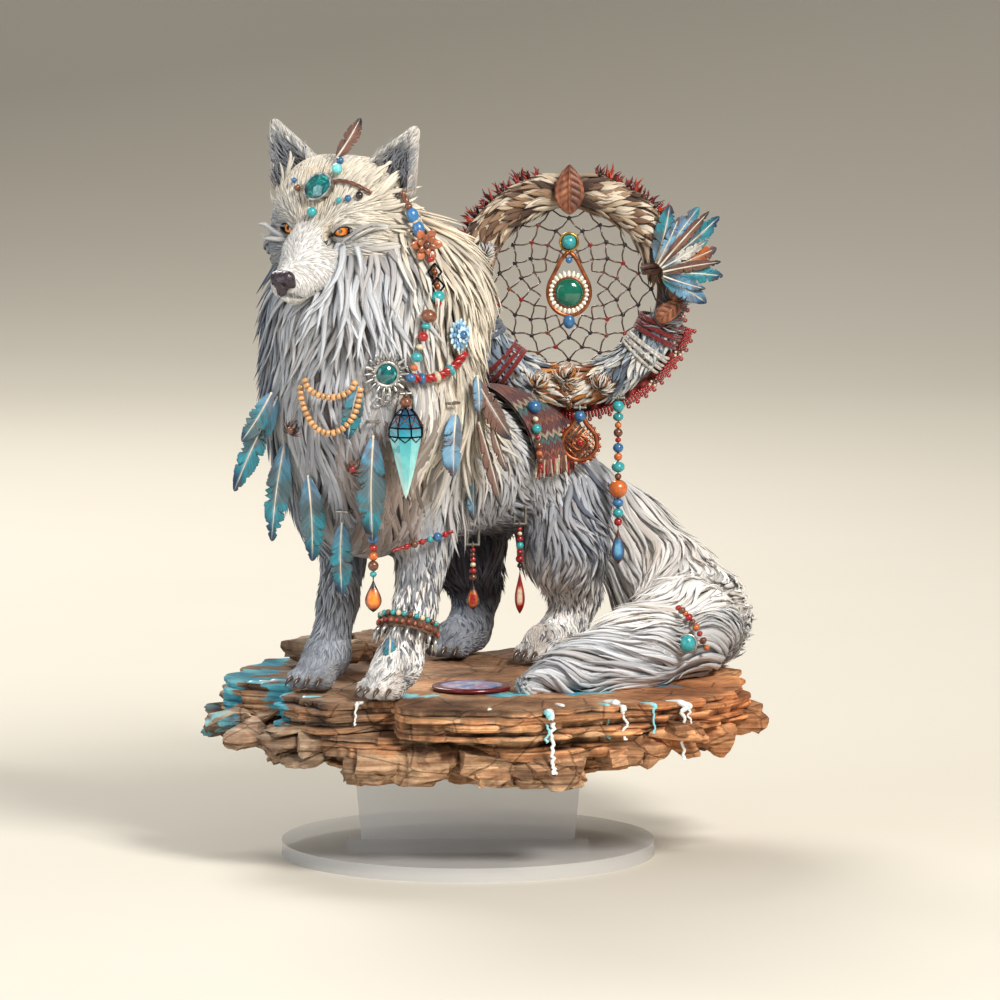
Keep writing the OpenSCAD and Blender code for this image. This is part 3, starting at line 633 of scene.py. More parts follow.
def body_coat(p):
    """The coat's colour by place, with painted light and shade: cream on the lit side of the neck, slate on its
    shaded side, dusk as painted shade under the belly, and painted shade on the far legs and low on the tail.
    """
    parts = body_parts(p)
    n = wobble(p, 26, 5)[:, None]
    z = p[:, 2] - ROCK_TOP
    az = np.arctan2(p[:, 0] - MANE_AT[0], MANE_AT[1] - p[:, 1])
    # Painted light and shade on the mane: cream on the lit right, slate on the shaded left.
    mane = mix(mix(SILVER, CREAM, ramp(az, 0.2, 1.0) * ramp(z, 60, 90)), SLATE * 1.25, ramp(az, -0.9, -1.5))
    chest = ramp(np.abs(az - 0.1), 1.0, 0.5) * ramp(z, 100, 84)
    mane = mix(mane, mix(UMBER * 1.15, ASH, ramp(az, -0.1, -0.7)), chest * 0.85)
    # Painted shade low on the mane.
    mane = mix(mane, SLATE * 0.8, ramp(z, 56, 40) * 0.8)
    # Painted shade on the flank: greyer lower down and dusk under the belly.
    flank = mix(mix(SILVER, ASH, ramp(z, 66, 46)), DUSK, ramp(z, 50, 40) * 0.9)
    # Painted shade on the far legs (blue-grey in front, dusk high on the hind leg) and low on the tail.
    colours = {"mane": mane, "torso": flank, "front_left_leg": mix(WHITE, SILVER, ramp(z, 30, 46)),
               "front_right_leg": mix(SILVER, SLATE * 1.3, 0.55),
               "hind_left_leg": mix(mix(ASH, WHITE, ramp(z, 46, 30)), UMBER * 1.3, ramp(z, 56, 72) * 0.6),
               "hind_right_leg": mix(ASH, DUSK, ramp(z, 10, 26)), "tail": mix(SILVER, WHITE, ramp(z, 8, 22))}
    total, weight = 0, 0
    low = np.min(list(parts.values()), axis=0)
    for name, d in parts.items():
        w = np.exp(-np.clip(d - low, 0, 40) / 1.6)[:, None]
        total, weight = total + colours[name] * w, weight + w
    clump = wobble(p * vec(1, 1, 0.5), 9, 15)[:, None]
    coat = total / weight * (1 + 0.1 * n) * (1 + 0.16 * clump)
    return mix(coat, coat * vec(0.82, 0.72, 0.64), ramp(wobble(p, 13, 19), 0.35, 1.0) * 0.6)


MANE_AT = from_wolf(vec(2, -34, 0))


def coat_of_head(q):
    """The face's colour, in the head's frame, with painted shade on the left cheek and under the jaw."""
    x, y, z = q.T
    m = mirrored(q)
    c = mix(CREAM * 1.02, WHITE, ramp(-y, 8, 18))
    c = mix(c, paint(0.86, 0.78, 0.66), ramp(np.abs(x), 7, 3) * ramp(-y, 4, 9) * ramp(-y, 18, 13) * 0.5)
    grey = ramp(np.linalg.norm((m - vec(10, -7, -9)) * vec(1, 1, 1.4), axis=1), 8, 3)
    c = mix(c, ASH, grey * 0.75)
    c = mix(c, UMBER * 0.9, ramp(np.linalg.norm(m - vec(11, 3, 11.5), axis=1), 7, 3) * 0.55)
    c = mix(c, ASH * 1.05, ramp(z, 6, 13) * ramp(np.abs(x), 7, 3) * 0.3)
    # Painted shade: blue-grey slate over the left cheek.
    c = mix(c, SLATE * 1.25, ramp(-x, 2, 13) * ramp(z, 3, -3) * 0.75)
    # Painted shade: greyer under the jaw.
    c = mix(c, ASH, ramp(z, -19, -24) * ramp(y, -20, -8) * 0.5)
    liner = ramp(eye_slit(m), 0.75, 0.25) * ramp(np.linalg.norm(m - EYE, axis=1), 5.2, 4.4)
    liner = np.maximum(liner, ramp(line_distance(m, TEAR), 0.75, 0.35))
    liner = np.maximum(liner, ramp(line_distance(m, MOUTH), 0.95, 0.6))
    return mix(c * (1 + 0.07 * wobble(q, 6, 3)[:, None]), paint(0.07, 0.06, 0.07), liner)


TEAR = settle(vec([5.2, -11.6, -6.6], [4.1, -12.6, -8.4], [3.8, -13.6, -10.2]), head_mass)


def head_coat(p):
    return coat_of_head(to_head(p))


def head_flow(p):
    """Hair runs back from the nose, up the forehead and out over the cheeks."""
    q = to_head(p)
    f = q - vec(0, -26, -15)
    side = ramp(np.abs(q[:, 0]), 4, 13) * ramp(q[:, 2], 6, -2)
    f = unit(f) + side[:, None] * np.stack([np.sign(q[:, 0]) * 0.5, 0.15 + 0 * side, -0.55 + 0 * side], -1)
    f[:, 2] -= ramp(q[:, 2], -10, -20) * 0.5
    return turned(turned(f, -HEAD_TURN), -HEADING)


def mane_flow(p):
    """Hair falls from the neck, outwards and down, parted over the chest."""
    r = p - MANE_AT - vec(0, 0, ROCK_TOP)
    out = unit(np.stack([r[:, 0], r[:, 1], 0 * r[:, 0]], -1))
    down = np.stack([0.16 * np.sin(r[:, 2] / 9 + r[:, 0] / 7), 0 * r[:, 0], -1 + 0 * r[:, 0]], -1)
    back = from_wolf(vec(0, 1, 0)) - from_wolf(vec(0, 0, 0))
    return down + out * 0.35 + back * (0.9 * ramp(r[:, 2], 104, 124))[:, None]


def body_flow(p):
    q = to_wolf(p)
    parts = body_parts(p)
    names = list(parts)
    nearest = np.argmin(np.stack(list(parts.values())), 0)
    back = from_wolf(vec(0, 1, 0)) - from_wolf(vec(0, 0, 0))
    f = mane_flow(p)
    torso = back * 0.8 + vec(0, 0, -0.75)
    f = np.where((nearest == names.index("torso"))[:, None], torso, f)
    for name in LEGS:
        thigh = ramp(q[:, 2], 26, 40)[:, None] * (0.5 if "hind" in name else 0.15)
        toes = ramp(q[:, 2], 11, 6)[:, None]
        leg = vec(0, 0, -1) * (1 - toes) + back * (thigh - toes * 0.9)
        f = np.where((nearest == names.index(name))[:, None], leg, f)
    return np.where((nearest == names.index("tail"))[:, None], tail_flow(p), f)


def tail_flow(p):
    """Along the tail, from its root to its tip, with a twist round it."""
    balls = np.array(TAIL, float) + [0, 0, ROCK_TOP, 0]
    gaps, ways = [], []
    for a, b in zip(balls[:-1], balls[1:]):
        t = np.clip((p - a[:3]) @ (b - a)[:3] / dot((b - a)[:3], (b - a)[:3]), 0, 1)
        gaps.append(np.linalg.norm(p - a[:3] - t[:, None] * (b - a)[:3], axis=1) - a[3] - t * (b[3] - a[3]))
        ways.append(unit((b - a)[:3]))
    share = np.exp((np.min(gaps, axis=0) - gaps) / 4)
    f = unit((share[..., None] * np.array(ways)[:, None]).sum(0))
    return f + 0.3 * np.cross(f, gradient(lambda s: chain_field(s - vec(0, 0, ROCK_TOP), TAIL, 6), p))


# ---- Wolf ----
def skin(name, field, low, high, step, colour, nodes, from_local=None):
    """The surface of a field as a piece; gives its vertices back."""
    verts, faces = grid_surface(field, low, high, step)
    verts = from_local(verts) if from_local else verts
    obj = make(name, verts, faces, SKIN, tint=colour(verts))
    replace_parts(obj, *nodes)
    return verts


def inset_body(p):
    """The skin, below the locks."""
    return body_field(p) + 1.6 * ramp(p[:, 2] - ROCK_TOP, 8, 30) + 0.4


low = np.min([box_mm(n)[0] for n in ("wolf_torso", "tail", "wolf_mane", "front_left_leg")], axis=0) - 2
high = np.max([box_mm(n)[1] for n in ("wolf_torso", "tail", "wolf_mane")], axis=0) + 2
# The undercoat's colour is darkened, most higher up where the long locks lie over it, as painted shade between
# the locks.
body_skin = skin("wolf_skin", inset_body, low, high, 1.0,
                 lambda p: body_coat(p) * mix(vec(0.75, 0.73, 0.72), vec(0.3, 0.27, 0.26),
                                              ramp(p[:, 2] - ROCK_TOP, 22, 36)),
                 ["wolf_torso", "wolf_mane", "tail", *LEGS])
head_skin = skin("head_skin", head_field, vec(-22, -32, -30), vec(22, 17, 16), 0.36, head_coat,
                 ["wolf_head"], from_local=from_head)
for side in (-1, 1):
    mirror = vec(side, 1, 1)
    verts, faces = grid_surface(lambda q: ear_shell(q * mirror), *np.sort([vec(7, -3, 2) * mirror,
                                vec(26, 8, 24) * mirror], axis=0), 0.3)
    m = verts * mirror
    inner = ramp(ear_field(m), -0.5, -1.3)
    tint = mix(mix(CREAM, SILVER, 0.4), paint(0.3, 0.3, 0.32), inner)
    name = "left_ear" if side > 0 else "right_ear"
    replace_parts(make(name + "_shell", from_head(verts), faces, SKIN, tint=tint), name)


def toe_centres(name):
    """Each toe's root and tip balls, in the wolf's frame, and its number from the middle."""
    x, y = LEGS[name][-1][:2]
    return [(vec(x + i * 1.8, y, 3.6, 3), vec(x + i * 3.1, y - 6 + abs(i) * 1.2, 2.8, 2.5), i)
            for i in (-1.5, -0.5, 0.5, 1.5)]


def paw_field(q, name):
    """A foot whose toes bulge at their knuckles, with a cleft between them."""
    d = chain_field(q, LEGS[name][1:], 3) + 0.2
    toes = 9 + 0 * d
    for root, tip, _ in toe_centres(name):
        toe = round_cone(q, root * vec(1, 1, 1, 0.95), tip + vec(0, 0.4, 0.5, -0.1))
        knuckle = np.linalg.norm((q - (root * 0.35 + tip * 0.65)[:3] - vec(0, 0, 0.9)) * vec(1.1, 0.8, 1),
                                 axis=1) - 2.2
        toes = np.minimum(toes, blend_min(toe, knuckle, 0.8))
    return np.maximum(blend_min(d, toes, 1.2), 0.1 - q[:, 2])


claws, claw_tint = [], []
for name in LEGS:
    ankle = np.array(LEGS[name][-1])
    low_corner, high_corner = ankle[:3] - vec(9, 13, 7), ankle[:3] + vec(9, 12, 12)
    verts, faces = grid_surface(lambda q: np.maximum(paw_field(q, name), q[:, 2] - 14), low_corner,
                                high_corner, 0.5)
    verts = from_wolf(verts)
    make(name + "_paw", verts, faces, SKIN, tint=body_coat(verts) * 0.95)
    for root, tip, i in toe_centres(name):
        start = tip[:3] + vec(0, -1.2, 0.9)
        t = np.linspace(0, 1, 9)[:, None]
        path = start + vec(i * 0.25, -3.4, 0.5) * t + vec(0, 0, -2.6) * t**2
        claws.append(tube(from_wolf(path), 0.78 * (1 - t[:, 0] ** 1.6) + 0.07, 9))
        claw_tint.append(np.repeat(mix(paint(0.42, 0.33, 0.26), paint(0.13, 0.1, 0.09), t[:, 0]), 9, axis=0))


def chosen(verts, keep, cell, seed):
    verts = verts[keep]
    return verts[thinned(verts, cell, seed)]


parts = body_parts(body_skin)
nearest = np.array(list(parts))[np.argmin(np.stack(list(parts.values())), 0)]
height = body_skin[:, 2] - ROCK_TOP
clear_of_head = head_world(body_skin) > -5.5
field = inset_body
mane = chosen(body_skin, (nearest == "mane") & clear_of_head & (height > 33), 2.9, 1)
az = np.arctan2(mane[:, 0] - MANE_AT[0], MANE_AT[1] - mane[:, 1])
dressed = ramp(np.abs(az - 0.12), 1.3, 1.1) * ramp(mane[:, 2] - ROCK_TOP, 118, 108)
chest = ramp(mane[:, 2] - ROCK_TOP, 62, 50)
fur_piece("mane_fur", mane, mane_flow, field, body_coat, 25 - 6 * chest, 1.35, lay=0.3,
          lift=3.8 - 3.3 * dressed,
          rings=8, sides=6, seed=2, curl=0.3, sink=0.8)
torso = chosen(body_skin, (nearest == "torso"), 2.7, 2)
fur_piece("torso_fur", torso, body_flow, field, body_coat, 15, 1.15, lift=1.0, rings=6, sides=6, seed=3,
          sink=0.6)


def leg_coat(p):
    """The coat with small dark flecks."""
    fleck = ramp(wobble(p, 2.6, 71, 1), 0.42, 0.5) * (0.25 + 0.75 * ramp(p[:, 0], -30, -20))
    pale = 1.04 + 0.2 * ramp(p[:, [0]], -28, -20)
    return mix(body_coat(p) * pale, vec(0.07, 0.09, 0.14), fleck * 0.85)


for name in LEGS:
    near_paw = (nearest == name) & (height > 9)
    roots = chosen(body_skin, near_paw, 1.5, 4)
    paw = np.array([v.co for v in bpy.data.objects[name + "_paw"].data.vertices]) / MM
    paw = chosen(paw, (paw[:, 2] > ROCK_TOP + 1.6) & (paw[:, 2] < ROCK_TOP + 12), 1.05, 6)
    fur_piece(name + "_paw_fur", paw, body_flow, lambda p: paw_field(to_wolf(p), name), leg_coat, 2.4, 0.24,
              material=FACE_FUR, lift=0.12, rings=3, sides=5, seed=16, sink=0.1, curl=0.1, spread=0.12,
              drift=0.1)
    z = roots[:, 2] - ROCK_TOP
    up = ramp(z, 14, 40)
    thigh = 1.0 if "hind" in name else 0.35
    fur_piece(name + "_fur", roots, body_flow, field, leg_coat, 2.6 + 2.4 * ramp(z, 8, 18) + 12 * up * thigh,
              0.42 + 0.12 * ramp(z, 8, 18) + 0.75 * up * thigh, lift=0.1 + 2.6 * up * thigh, rings=5, sides=6,
              seed=5, sink=0.3)
tail = chosen(body_skin, (nearest == "tail") & (height > 1.0), 2.9, 6)
fur_piece("tail_fur", tail, tail_flow, field, lambda p: body_coat(p) * 1.12, 38, 1.5, lift=3.4, rings=10,
          sides=6, seed=7, curl=0.12,
          drift=0.42, spread=0.07)

q = to_head(head_skin)
m = mirrored(q)
open_face = (eye_slit(m) > 0.45) & (line_distance(m, MOUTH) > 1.25)
open_face &= np.linalg.norm(q - vec(0, -27, -18.5), axis=1) > 3.8
face = chosen(head_skin, open_face, 0.94, 8)
qf = to_head(face)
far = ramp(np.linalg.norm(qf - vec(0, -26, -18), axis=1), 8, 30)
cheek = ramp(np.abs(qf[:, 0]), 7, 14) * ramp(qf[:, 2], 6, -1) * ramp(qf[:, 1], -14, -2)
fur_piece("face_fur", face, head_flow, head_world, head_coat, 2.6 + 3.2 * far + 5 * cheek,
          0.22 + 0.26 * far + 0.3 * cheek, material=FACE_FUR, lift=0.05 + 0.35 * far + 1.2 * cheek, rings=4,
          sides=5,
          seed=9, sink=0.12, curl=0.1, spread=0.1, flat=0.5, drift=0.08)
ruff = chosen(head_skin,
              ((np.abs(q[:, 0]) > 8) & (q[:, 2] < 6) & (q[:, 1] > -7)) | ((q[:, 2] < -9) & (q[:, 1] > -11)),
              1.9, 10)
deep = ramp(to_head(ruff)[:, 2], -4, -12)
fur_piece("cheek_ruff", ruff, head_flow, head_world, head_coat, 12 + 5 * deep, 1.05, lift=4.6, rings=8,
          sides=6, seed=11, sink=0.3, curl=0.25)

# Ears: short fur outside, long pale wisps over the cup
for side in (-1, 1):
    mirror = vec(side, 1, 1)
    name = "left_ear" if side > 0 else "right_ear"
    shell = to_head(np.array([v.co for v in bpy.data.objects[name + "_shell"].data.vertices]) / MM) * mirror
    shell_field = lambda p: ear_shell(to_head(p))
    hollow_part = ear_field(shell) < -0.55
    up = from_head(vec(7, 1.0, 15) * mirror) - from_head(vec(0, 0, 0))

    def ear_coat(p):
        m = to_head(p) * mirror
        c = mix(mix(CREAM, SILVER, 0.45), UMBER * 1.1, ramp(m[:, 2], 13, 6) * 0.5)
        return c * (1 + 0.1 * wobble(p, 5, 31)[:, None])

    outer = shell[~hollow_part]
    outer = from_head(outer[thinned(outer, 1.15, 12)] * mirror)
    fur_piece(name + "_fur", outer, lambda p: up + 0 * p, shell_field, ear_coat, 4.0, 0.42,
              material=FACE_FUR, lift=0.25,
              rings=4, sides=5, seed=13, sink=0.15, curl=0.1, spread=0.12)
    cup = shell[hollow_part & (shell[:, 2] < 15.5)]
    cup = from_head(cup[thinned(cup, 1.25, 14)] * mirror)
    pale = ramp(to_head(cup)[:, 0] * side, 12, 7) * ramp(to_head(cup)[:, 2], 13, 8)
    fur_piece(name + "_wisps", cup, lambda p: up + 0 * p, shell_field,
              lambda p: mix(ASH * vec(1, 0.97, 0.93), mix(CREAM, SILVER, 0.5),
                            ramp(to_head(p)[:, 0] * side, 13, 8)),
              6 + 4 * pale, 0.3 + 0.15 * pale, material=FACE_FUR, lift=1.3 + 0.8 * pale, rings=5, sides=5,
              seed=15, sink=0.1, curl=0.3, spread=0.35)

# ---- Rock ----
def cad_mesh(node):
    """A CAD node's vertices, merged, in millimetres, and its edges."""
    mesh = frame["nodes"][node].data
    co = np.empty(len(mesh.vertices) * 3)
    mesh.vertices.foreach_get("co", co)
    matrix = np.array(frame["nodes"][node].matrix_world)
    co = co.reshape(-1, 3) @ matrix[:3, :3].T + matrix[:3, 3]
    edges = np.empty(len(mesh.edges) * 2, np.int32)
    mesh.edges.foreach_get("vertices", edges)
    _, first, same = np.unique(np.round(co / MM, 2), axis=0, return_index=True, return_inverse=True)
    return co[first] / MM, same.reshape(-1)[edges.reshape(-1, 2)]


def islands(node):
    """The vertices of each separate solid of a CAD node."""
    co, edges = cad_mesh(node)
    label = np.arange(len(co))
    while True:
        low = np.minimum(label[edges[:, 0]], label[edges[:, 1]])
        new = label.copy()
        np.minimum.at(new, edges[:, 0], low)
        np.minimum.at(new, edges[:, 1], low)
        new = new[new]
        if (new == label).all():
            return [co[label == k] for k in np.unique(label)]
        label = new


def slab(node, layers, seed, points=260, top_relief=0.35):
    """A thick plate of rock in jagged layers, with the outline of its CAD node."""
    draw = np.random.default_rng(seed)
    co, _ = cad_mesh(node)
    low, high = box_mm(node)
    centre = vec(*((low + high) / 2)[:2], 0)
    r = co - centre
    a, d = np.arctan2(r[:, 1], r[:, 0]), np.hypot(r[:, 0], r[:, 1])
    keep = d > 0.8 * np.interp(a, np.sort(a), d[np.argsort(a)])
    order = np.argsort(a[keep])
    theta = np.linspace(-math.pi, math.pi, points, endpoint=False)
    edge = np.interp(theta, a[keep][order], d[keep][order], period=2 * math.pi)
    edge = sum(np.roll(edge, k) for k in range(-4, 5)) / 9
    ray = np.stack([np.cos(theta), np.sin(theta), 0 * theta], -1)
    around = ray * 60

    def ring(scale, inset, z, rough):
        return centre + ray * ((edge - inset) * scale)[:, None] + np.outer(z + 0 * theta, [0, 0, 1]) + rough

    cuts = np.sort(draw.uniform(0.1, 0.9, layers - 1))
    cuts = np.concatenate([[0], 0.5 * cuts + 0.5 * np.arange(1, layers) / layers, [1]])
    rings = []
    depth = high[2] - low[2]
    for f in (0.0, 0.5, 0.85, 0.96):
        rings.append(ring(f if f else 0.001, 2.0, low[2] + 0.1, 0))
    for i in range(layers):
        chips = wobble(around, 34, seed + i * 3) + 0.8 * wobble(around, 9, seed + 50 + i * 5)
        inset = 1.7 + 1.5 * chips + draw.uniform(-0.6, 0.8)
        inset = np.clip(np.round(inset * 1.6) / 1.6 * 0.6 + inset * 0.4, 0, 5)
        z0, z1 = low[2] + depth * cuts[i], low[2] + depth * cuts[i + 1]
        lip = 0.25 * wobble(around, 6, seed + 90 + i)
        rings += [ring(1, inset + 0.5, z0 + 0.12, 0), ring(1, inset + lip, z0 + (z1 - z0) * 0.35, 0),
                  ring(1, inset, z0 + (z1 - z0) * 0.8, 0), ring(1, inset + 0.35, z1 - 0.02, 0)]
    for f in np.concatenate([1 - 0.06 * np.arange(1, 16), [0.001]]):
        flat = ring(f, inset + 0.8, high[2], 0)
        n = wobble(flat, 30, seed + 7)
        step = np.round(n * 2.2) / 2.2
        grit = 0.08 * (1 + wobble(flat, 5, seed + 8)) * 0.5
        flat[:, 2] -= top_relief * (0.5 - 0.5 * np.clip(step, -1, 1)) + grit
        rings.append(flat)
    verts = np.vstack(rings)
    count = len(rings)
    caps = np.array([np.arange(points)[::-1], np.arange(points) + (count - 1) * points])
    gap = np.tile(edge, count) - np.hypot(*(verts - centre)[:, :2].T)
    gap[(4 + 4 * layers) * points:] = 2
    return verts, [ring_faces(count, points), caps], gap


def chunk(centre, size, yaw, tilt, roll, seed, n=7):
    """An angular stone: a box with planes cut off it."""
    draw = np.random.default_rng(seed)
    g = np.linspace(-1, 1, n)
    u, v = (w.ravel() for w in np.meshgrid(g, g, indexing="ij"))
    one = np.ones_like(u)
    sides = [np.stack(s, -1)
             for s in ((one, u, v), (-one, v, u), (v, one, u), (u, -one, v), (u, v, one), (v, u, -one))]
    verts = np.vstack(sides)
    faces = np.vstack([grid_quads(n, n)[:, [0, 3, 2, 1]] + k * n * n for k in range(6)])
    for _ in range(9):
        normal = unit(draw.normal(size=3) * vec(1, 1, 0.8))
        over = verts @ normal - draw.uniform(0.75, 1.05)
        verts = verts - np.maximum(over, 0)[:, None] * normal
    verts = verts + 0.05 * np.stack([wobble(verts, 0.9, seed + k, 2) for k in range(3)], -1)
    key = np.round(verts, 4)
    _, first, same = np.unique(key, axis=0, return_index=True, return_inverse=True)
    verts, faces = verts[first], same.reshape(-1)[faces]
    verts = verts * np.asarray(size) / 2
    cr, sr = math.cos(roll), math.sin(roll)
    verts = np.stack([verts[:, 0], verts[:, 1] * cr - verts[:, 2] * sr, verts[:, 1] * sr + verts[:, 2] * cr],
                     -1)
    ct, st = math.cos(tilt), math.sin(tilt)
    verts = np.stack([verts[:, 0] * ct + verts[:, 2] * st, verts[:, 1],
                      -verts[:, 0] * st + verts[:, 2] * ct], -1)
    return turned(verts, yaw) + centre, faces


def rock_material(name, pale, mid, dark, strata=1.0):
    s = Shader(name, Roughness=0.82, Specular_IOR_Level=0.25)
    where = s.place()
    bands = s.noise(70, s.scaled(where, (0.25, 0.25, 9)), 6, 0.6, 0.2)
    grain = s.noise(420, where, 6, 0.65)
    patch = s.noise(45, where, 4, 0.6, 0.4)
    colour = s.ramp(patch, (0.3, dark), (0.5, mid), (0.72, pale))
    colour = s.mixed(0.55 * strata, colour, s.ramp(bands, (0.35, dark), (0.48, mid), (0.6, pale)))
    colour = s.mixed(1.0, colour, s.ramp(grain, (0.3, 0.62), (0.7, 1.12)), "MULTIPLY")
    cracks = s.cells(60, "DISTANCE_TO_EDGE", s.scaled(where, (1, 1, 1.6)))
    lines = s.ramp(cracks, (0.0, 0.5), (0.025, 1.0))
    colour = s.mixed(1.0, colour, lines, "MULTIPLY")
    colour = s.mixed(1.0, colour, s.attribute("tint", "Color"), "MULTIPLY")
    smear = s.sum("SUBTRACT", s.sum("ADD", s.attribute("strand", "Fac"), s.sum("MULTIPLY", grain, 0.5)), 0.45)
    glaze = s.ramp(patch, (0.4, paint(0.1, 0.5, 0.6)), (0.6, paint(0.45, 0.78, 0.82)))
    colour = s.mixed(s.ramp(smear, (0.2, 0.0), (0.4, 0.9)), colour, glaze)
    height = s.sum("ADD", s.sum("MULTIPLY", bands, 0.8), s.sum("MULTIPLY", grain, 0.35))
    normal = s.bump(height, 0.0016, 0.7)
    normal = s.bump(lines, 0.0006, 0.8, normal)
    return s.look(Base_Color=colour, Normal=normal)


STONE = rock_material("layered_sandstone", paint(0.85, 0.71, 0.56), paint(0.62, 0.46, 0.34),
                      paint(0.28, 0.21, 0.17))


def stone_light_and_tone(p):
    """Painted light and shade: cool blue-grey shade to the left, warm orange light to the right, and a little
    random tone.
    """
    mid_rock = middle("rock_top_slab")
    x = p[:, 0] - mid_rock[0]
    # Painted shade to the left, painted warm light to the right.
    c = mix(vec(1, 1, 1), vec(0.72, 0.84, 1.0), ramp(-x, 14, 52) * 0.9)
    c = mix(c, vec(1.3, 0.98, 0.76), ramp(x, 22, 66) * 0.8)
    return c * (1 + 0.14 * wobble(p, 24, 17)[:, None])


for node, layers, seed in (("rock_top_slab", 5, 3), ("rock_middle_ledge", 3, 23),
                           ("rock_lower_ledge", 3, 43)):
    verts, faces, gap = slab(node, layers, seed)
    # Painted shade darkens the rock where a layer is set back under the one above, and painted warm light
    # brightens the outer rims.
    tint = stone_light_and_tone(verts) * (1.25 - 0.8 * ramp(gap, 1.4, 4.6))[:, None]
    tint = tint * mix(vec(1, 1, 1), vec(1.1, 0.94, 0.8), ramp(gap, 2.4, 1.2))
    smear = np.zeros((len(verts), 3))
    if node == "rock_top_slab":
        top = ramp(verts[:, 2], ROCK_TOP - 2, ROCK_TOP - 0.5)
        # Painted shade: the top of the slab is cooler and darker towards the back.
        tint = tint * mix(vec(1, 1, 1), vec(0.8, 0.84, 0.9), top * ramp(verts[:, 1], 0, 22))
        n = wobble(verts, 22, 61)
        smear[:] = (ramp(-verts[:, 0], 40, 58) * ramp(n, -0.1, 0.25))[:, None]
        for x, y, r in ((8, -24, 5), (34, -19, 4), (41, -16, 3), (-20, -26, 4), (55, -4, 4), (-6, -25, 3)):
            near = np.linalg.norm((verts - vec(x, y, ROCK_TOP)) * vec(0.6, 1, 1), axis=1)
            smear = np.maximum(smear, (ramp(near + 2.5 * n, r, r * 0.4) * 0.8)[:, None])
        kept = (np.abs(verts[:, 2] - ROCK_TOP) < 0.8) & (gap < 3.5)
        rim, rim_gap = verts[kept], gap[kept]
    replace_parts(make(node + "_layers", verts, faces, STONE, smooth=False, tint=tint,
                     strand=smear), node)

draw = np.random.default_rng(5)
for node, count, low_size, high_size, tilts in (
        ("rubble_left", 32, (13, 9, 2.6), (22, 14, 4.6), (0.0, 0.8)),
        ("rubble_front", 34, (14, 10, 4.5), (24, 17, 9), (0.1, 0.9)),
        ("rubble_right", 24, (11, 9, 4.5), (18, 13, 8.5), (-0.15, 0.4)),
        ("rock_back_stones", 9, (11, 8, 4), (16, 12, 7), (-0.1, 0.4))):
    stones, centre = [], middle("rock_top_slab")
    co = np.vstack(islands(node))
    low, high = box_mm(node)
    for i in range(count):
        at = co[draw.integers(len(co))]
        out = unit((at - centre) * vec(1, 1, 0))
        size = draw.uniform(low_size, high_size)
        at = np.clip(at - out * size[0] * 0.26, low + vec(4, 4, 2), high - vec(4, 4, 2))
        yaw = math.atan2(out[1], out[0]) + draw.normal(0, 0.35)
        verts, faces = chunk(at, size, yaw, draw.uniform(*tilts), draw.normal(0, 0.25), 300 + i + count)
        margin = draw.uniform(-0.5, 0.8, 3)
        short = np.maximum(low - margin - verts.min(0), 0)
        verts = verts + short - np.maximum(verts.max(0) - high - margin, 0)
        stones.append((np.clip(verts, low - 0.8 - 0.02 * i, high + 0.8 + 0.02 * i), faces))
    verts, faces = joined(stones)
    tint = stone_light_and_tone(verts) * np.repeat(draw.normal(1.0, 0.2, len(stones)).clip(0.55, 1.45),
                                         [len(v) for v, _ in stones])[:, None]
    smear = 0.5 * ramp(-verts[:, 0], 52, 66) * ramp(wobble(verts, 14, 5), 0.1, 0.4)
    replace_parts(make(node + "_shards", verts, faces, STONE, smooth=False, tint=tint,
                     strand=np.repeat(smear[:, None], 3, 1)), node)

# Runs of glaze over the edge of the slab
s = Shader("glaze_runs", Roughness=0.15, Coat_Weight=0.8)
GLAZE = s.look(Base_Color=s.tinted(s.noise(300), (0.3, 0.85), (0.7, 1.05)))
runs = []
for k, (x, drop, wide) in enumerate(((-60, 15, 1), (-57.5, 9, 0.7), (-54, 8, 0.8), (-44, 11, 0.8),
                                     (-30, 6, 0.7), (6, 6, 0.7), (21, 8, 0.8),
                                     (23, 17, 1.3), (25.5, 9, 0.8), (38, 9, 0.9), (40, 14, 1.5),
                                     (42.5, 9, 0.9), (51, 8, 0.7), (58.5, 16, 1),
                                     (61, 8, 0.7))):
    near = np.argmin(np.abs(rim[:, 0] - x) + 0.02 * rim[:, 1] + 9 * (rim[:, 1] > 8))
    at = rim[near]
    out = unit((at - middle("rock_top_slab")) * vec(1, 1, 0))
    t = np.linspace(0, 1, 40)[:, None]
    over = ramp(t, 0.0, 0.22)
    path = at - out * 5 * (1 - over) + out * (rim_gap[near] - 0.6) * over - vec(0, 0, 0.15)
    path = path - vec(0, 0, drop) * ramp(t, 0.16, 1.0)
    path = path + vec(0.45, 0, 0) * wobble(path * vec(1, 1, 2), 6, k)[:, None]
    t = t[:, 0]
    thick = 0.42 + 0.35 * np.exp(-((t - 0.95) / 0.04) ** 2)
    thick = thick + 0.5 * ramp(t, 0.0, 0.2) * (1 - ramp(t, 0.25, 0.5))
    thick = thick * wide * ramp(t, -0.04, 0.12)
    thick[-1] = thick[0] = 0.08
    runs.append((tube(path, thick, 9), paint(0.93, 0.95, 0.94) if k % 3 else paint(0.55, 0.84, 0.88)))
piece("glaze_drips", runs, GLAZE)


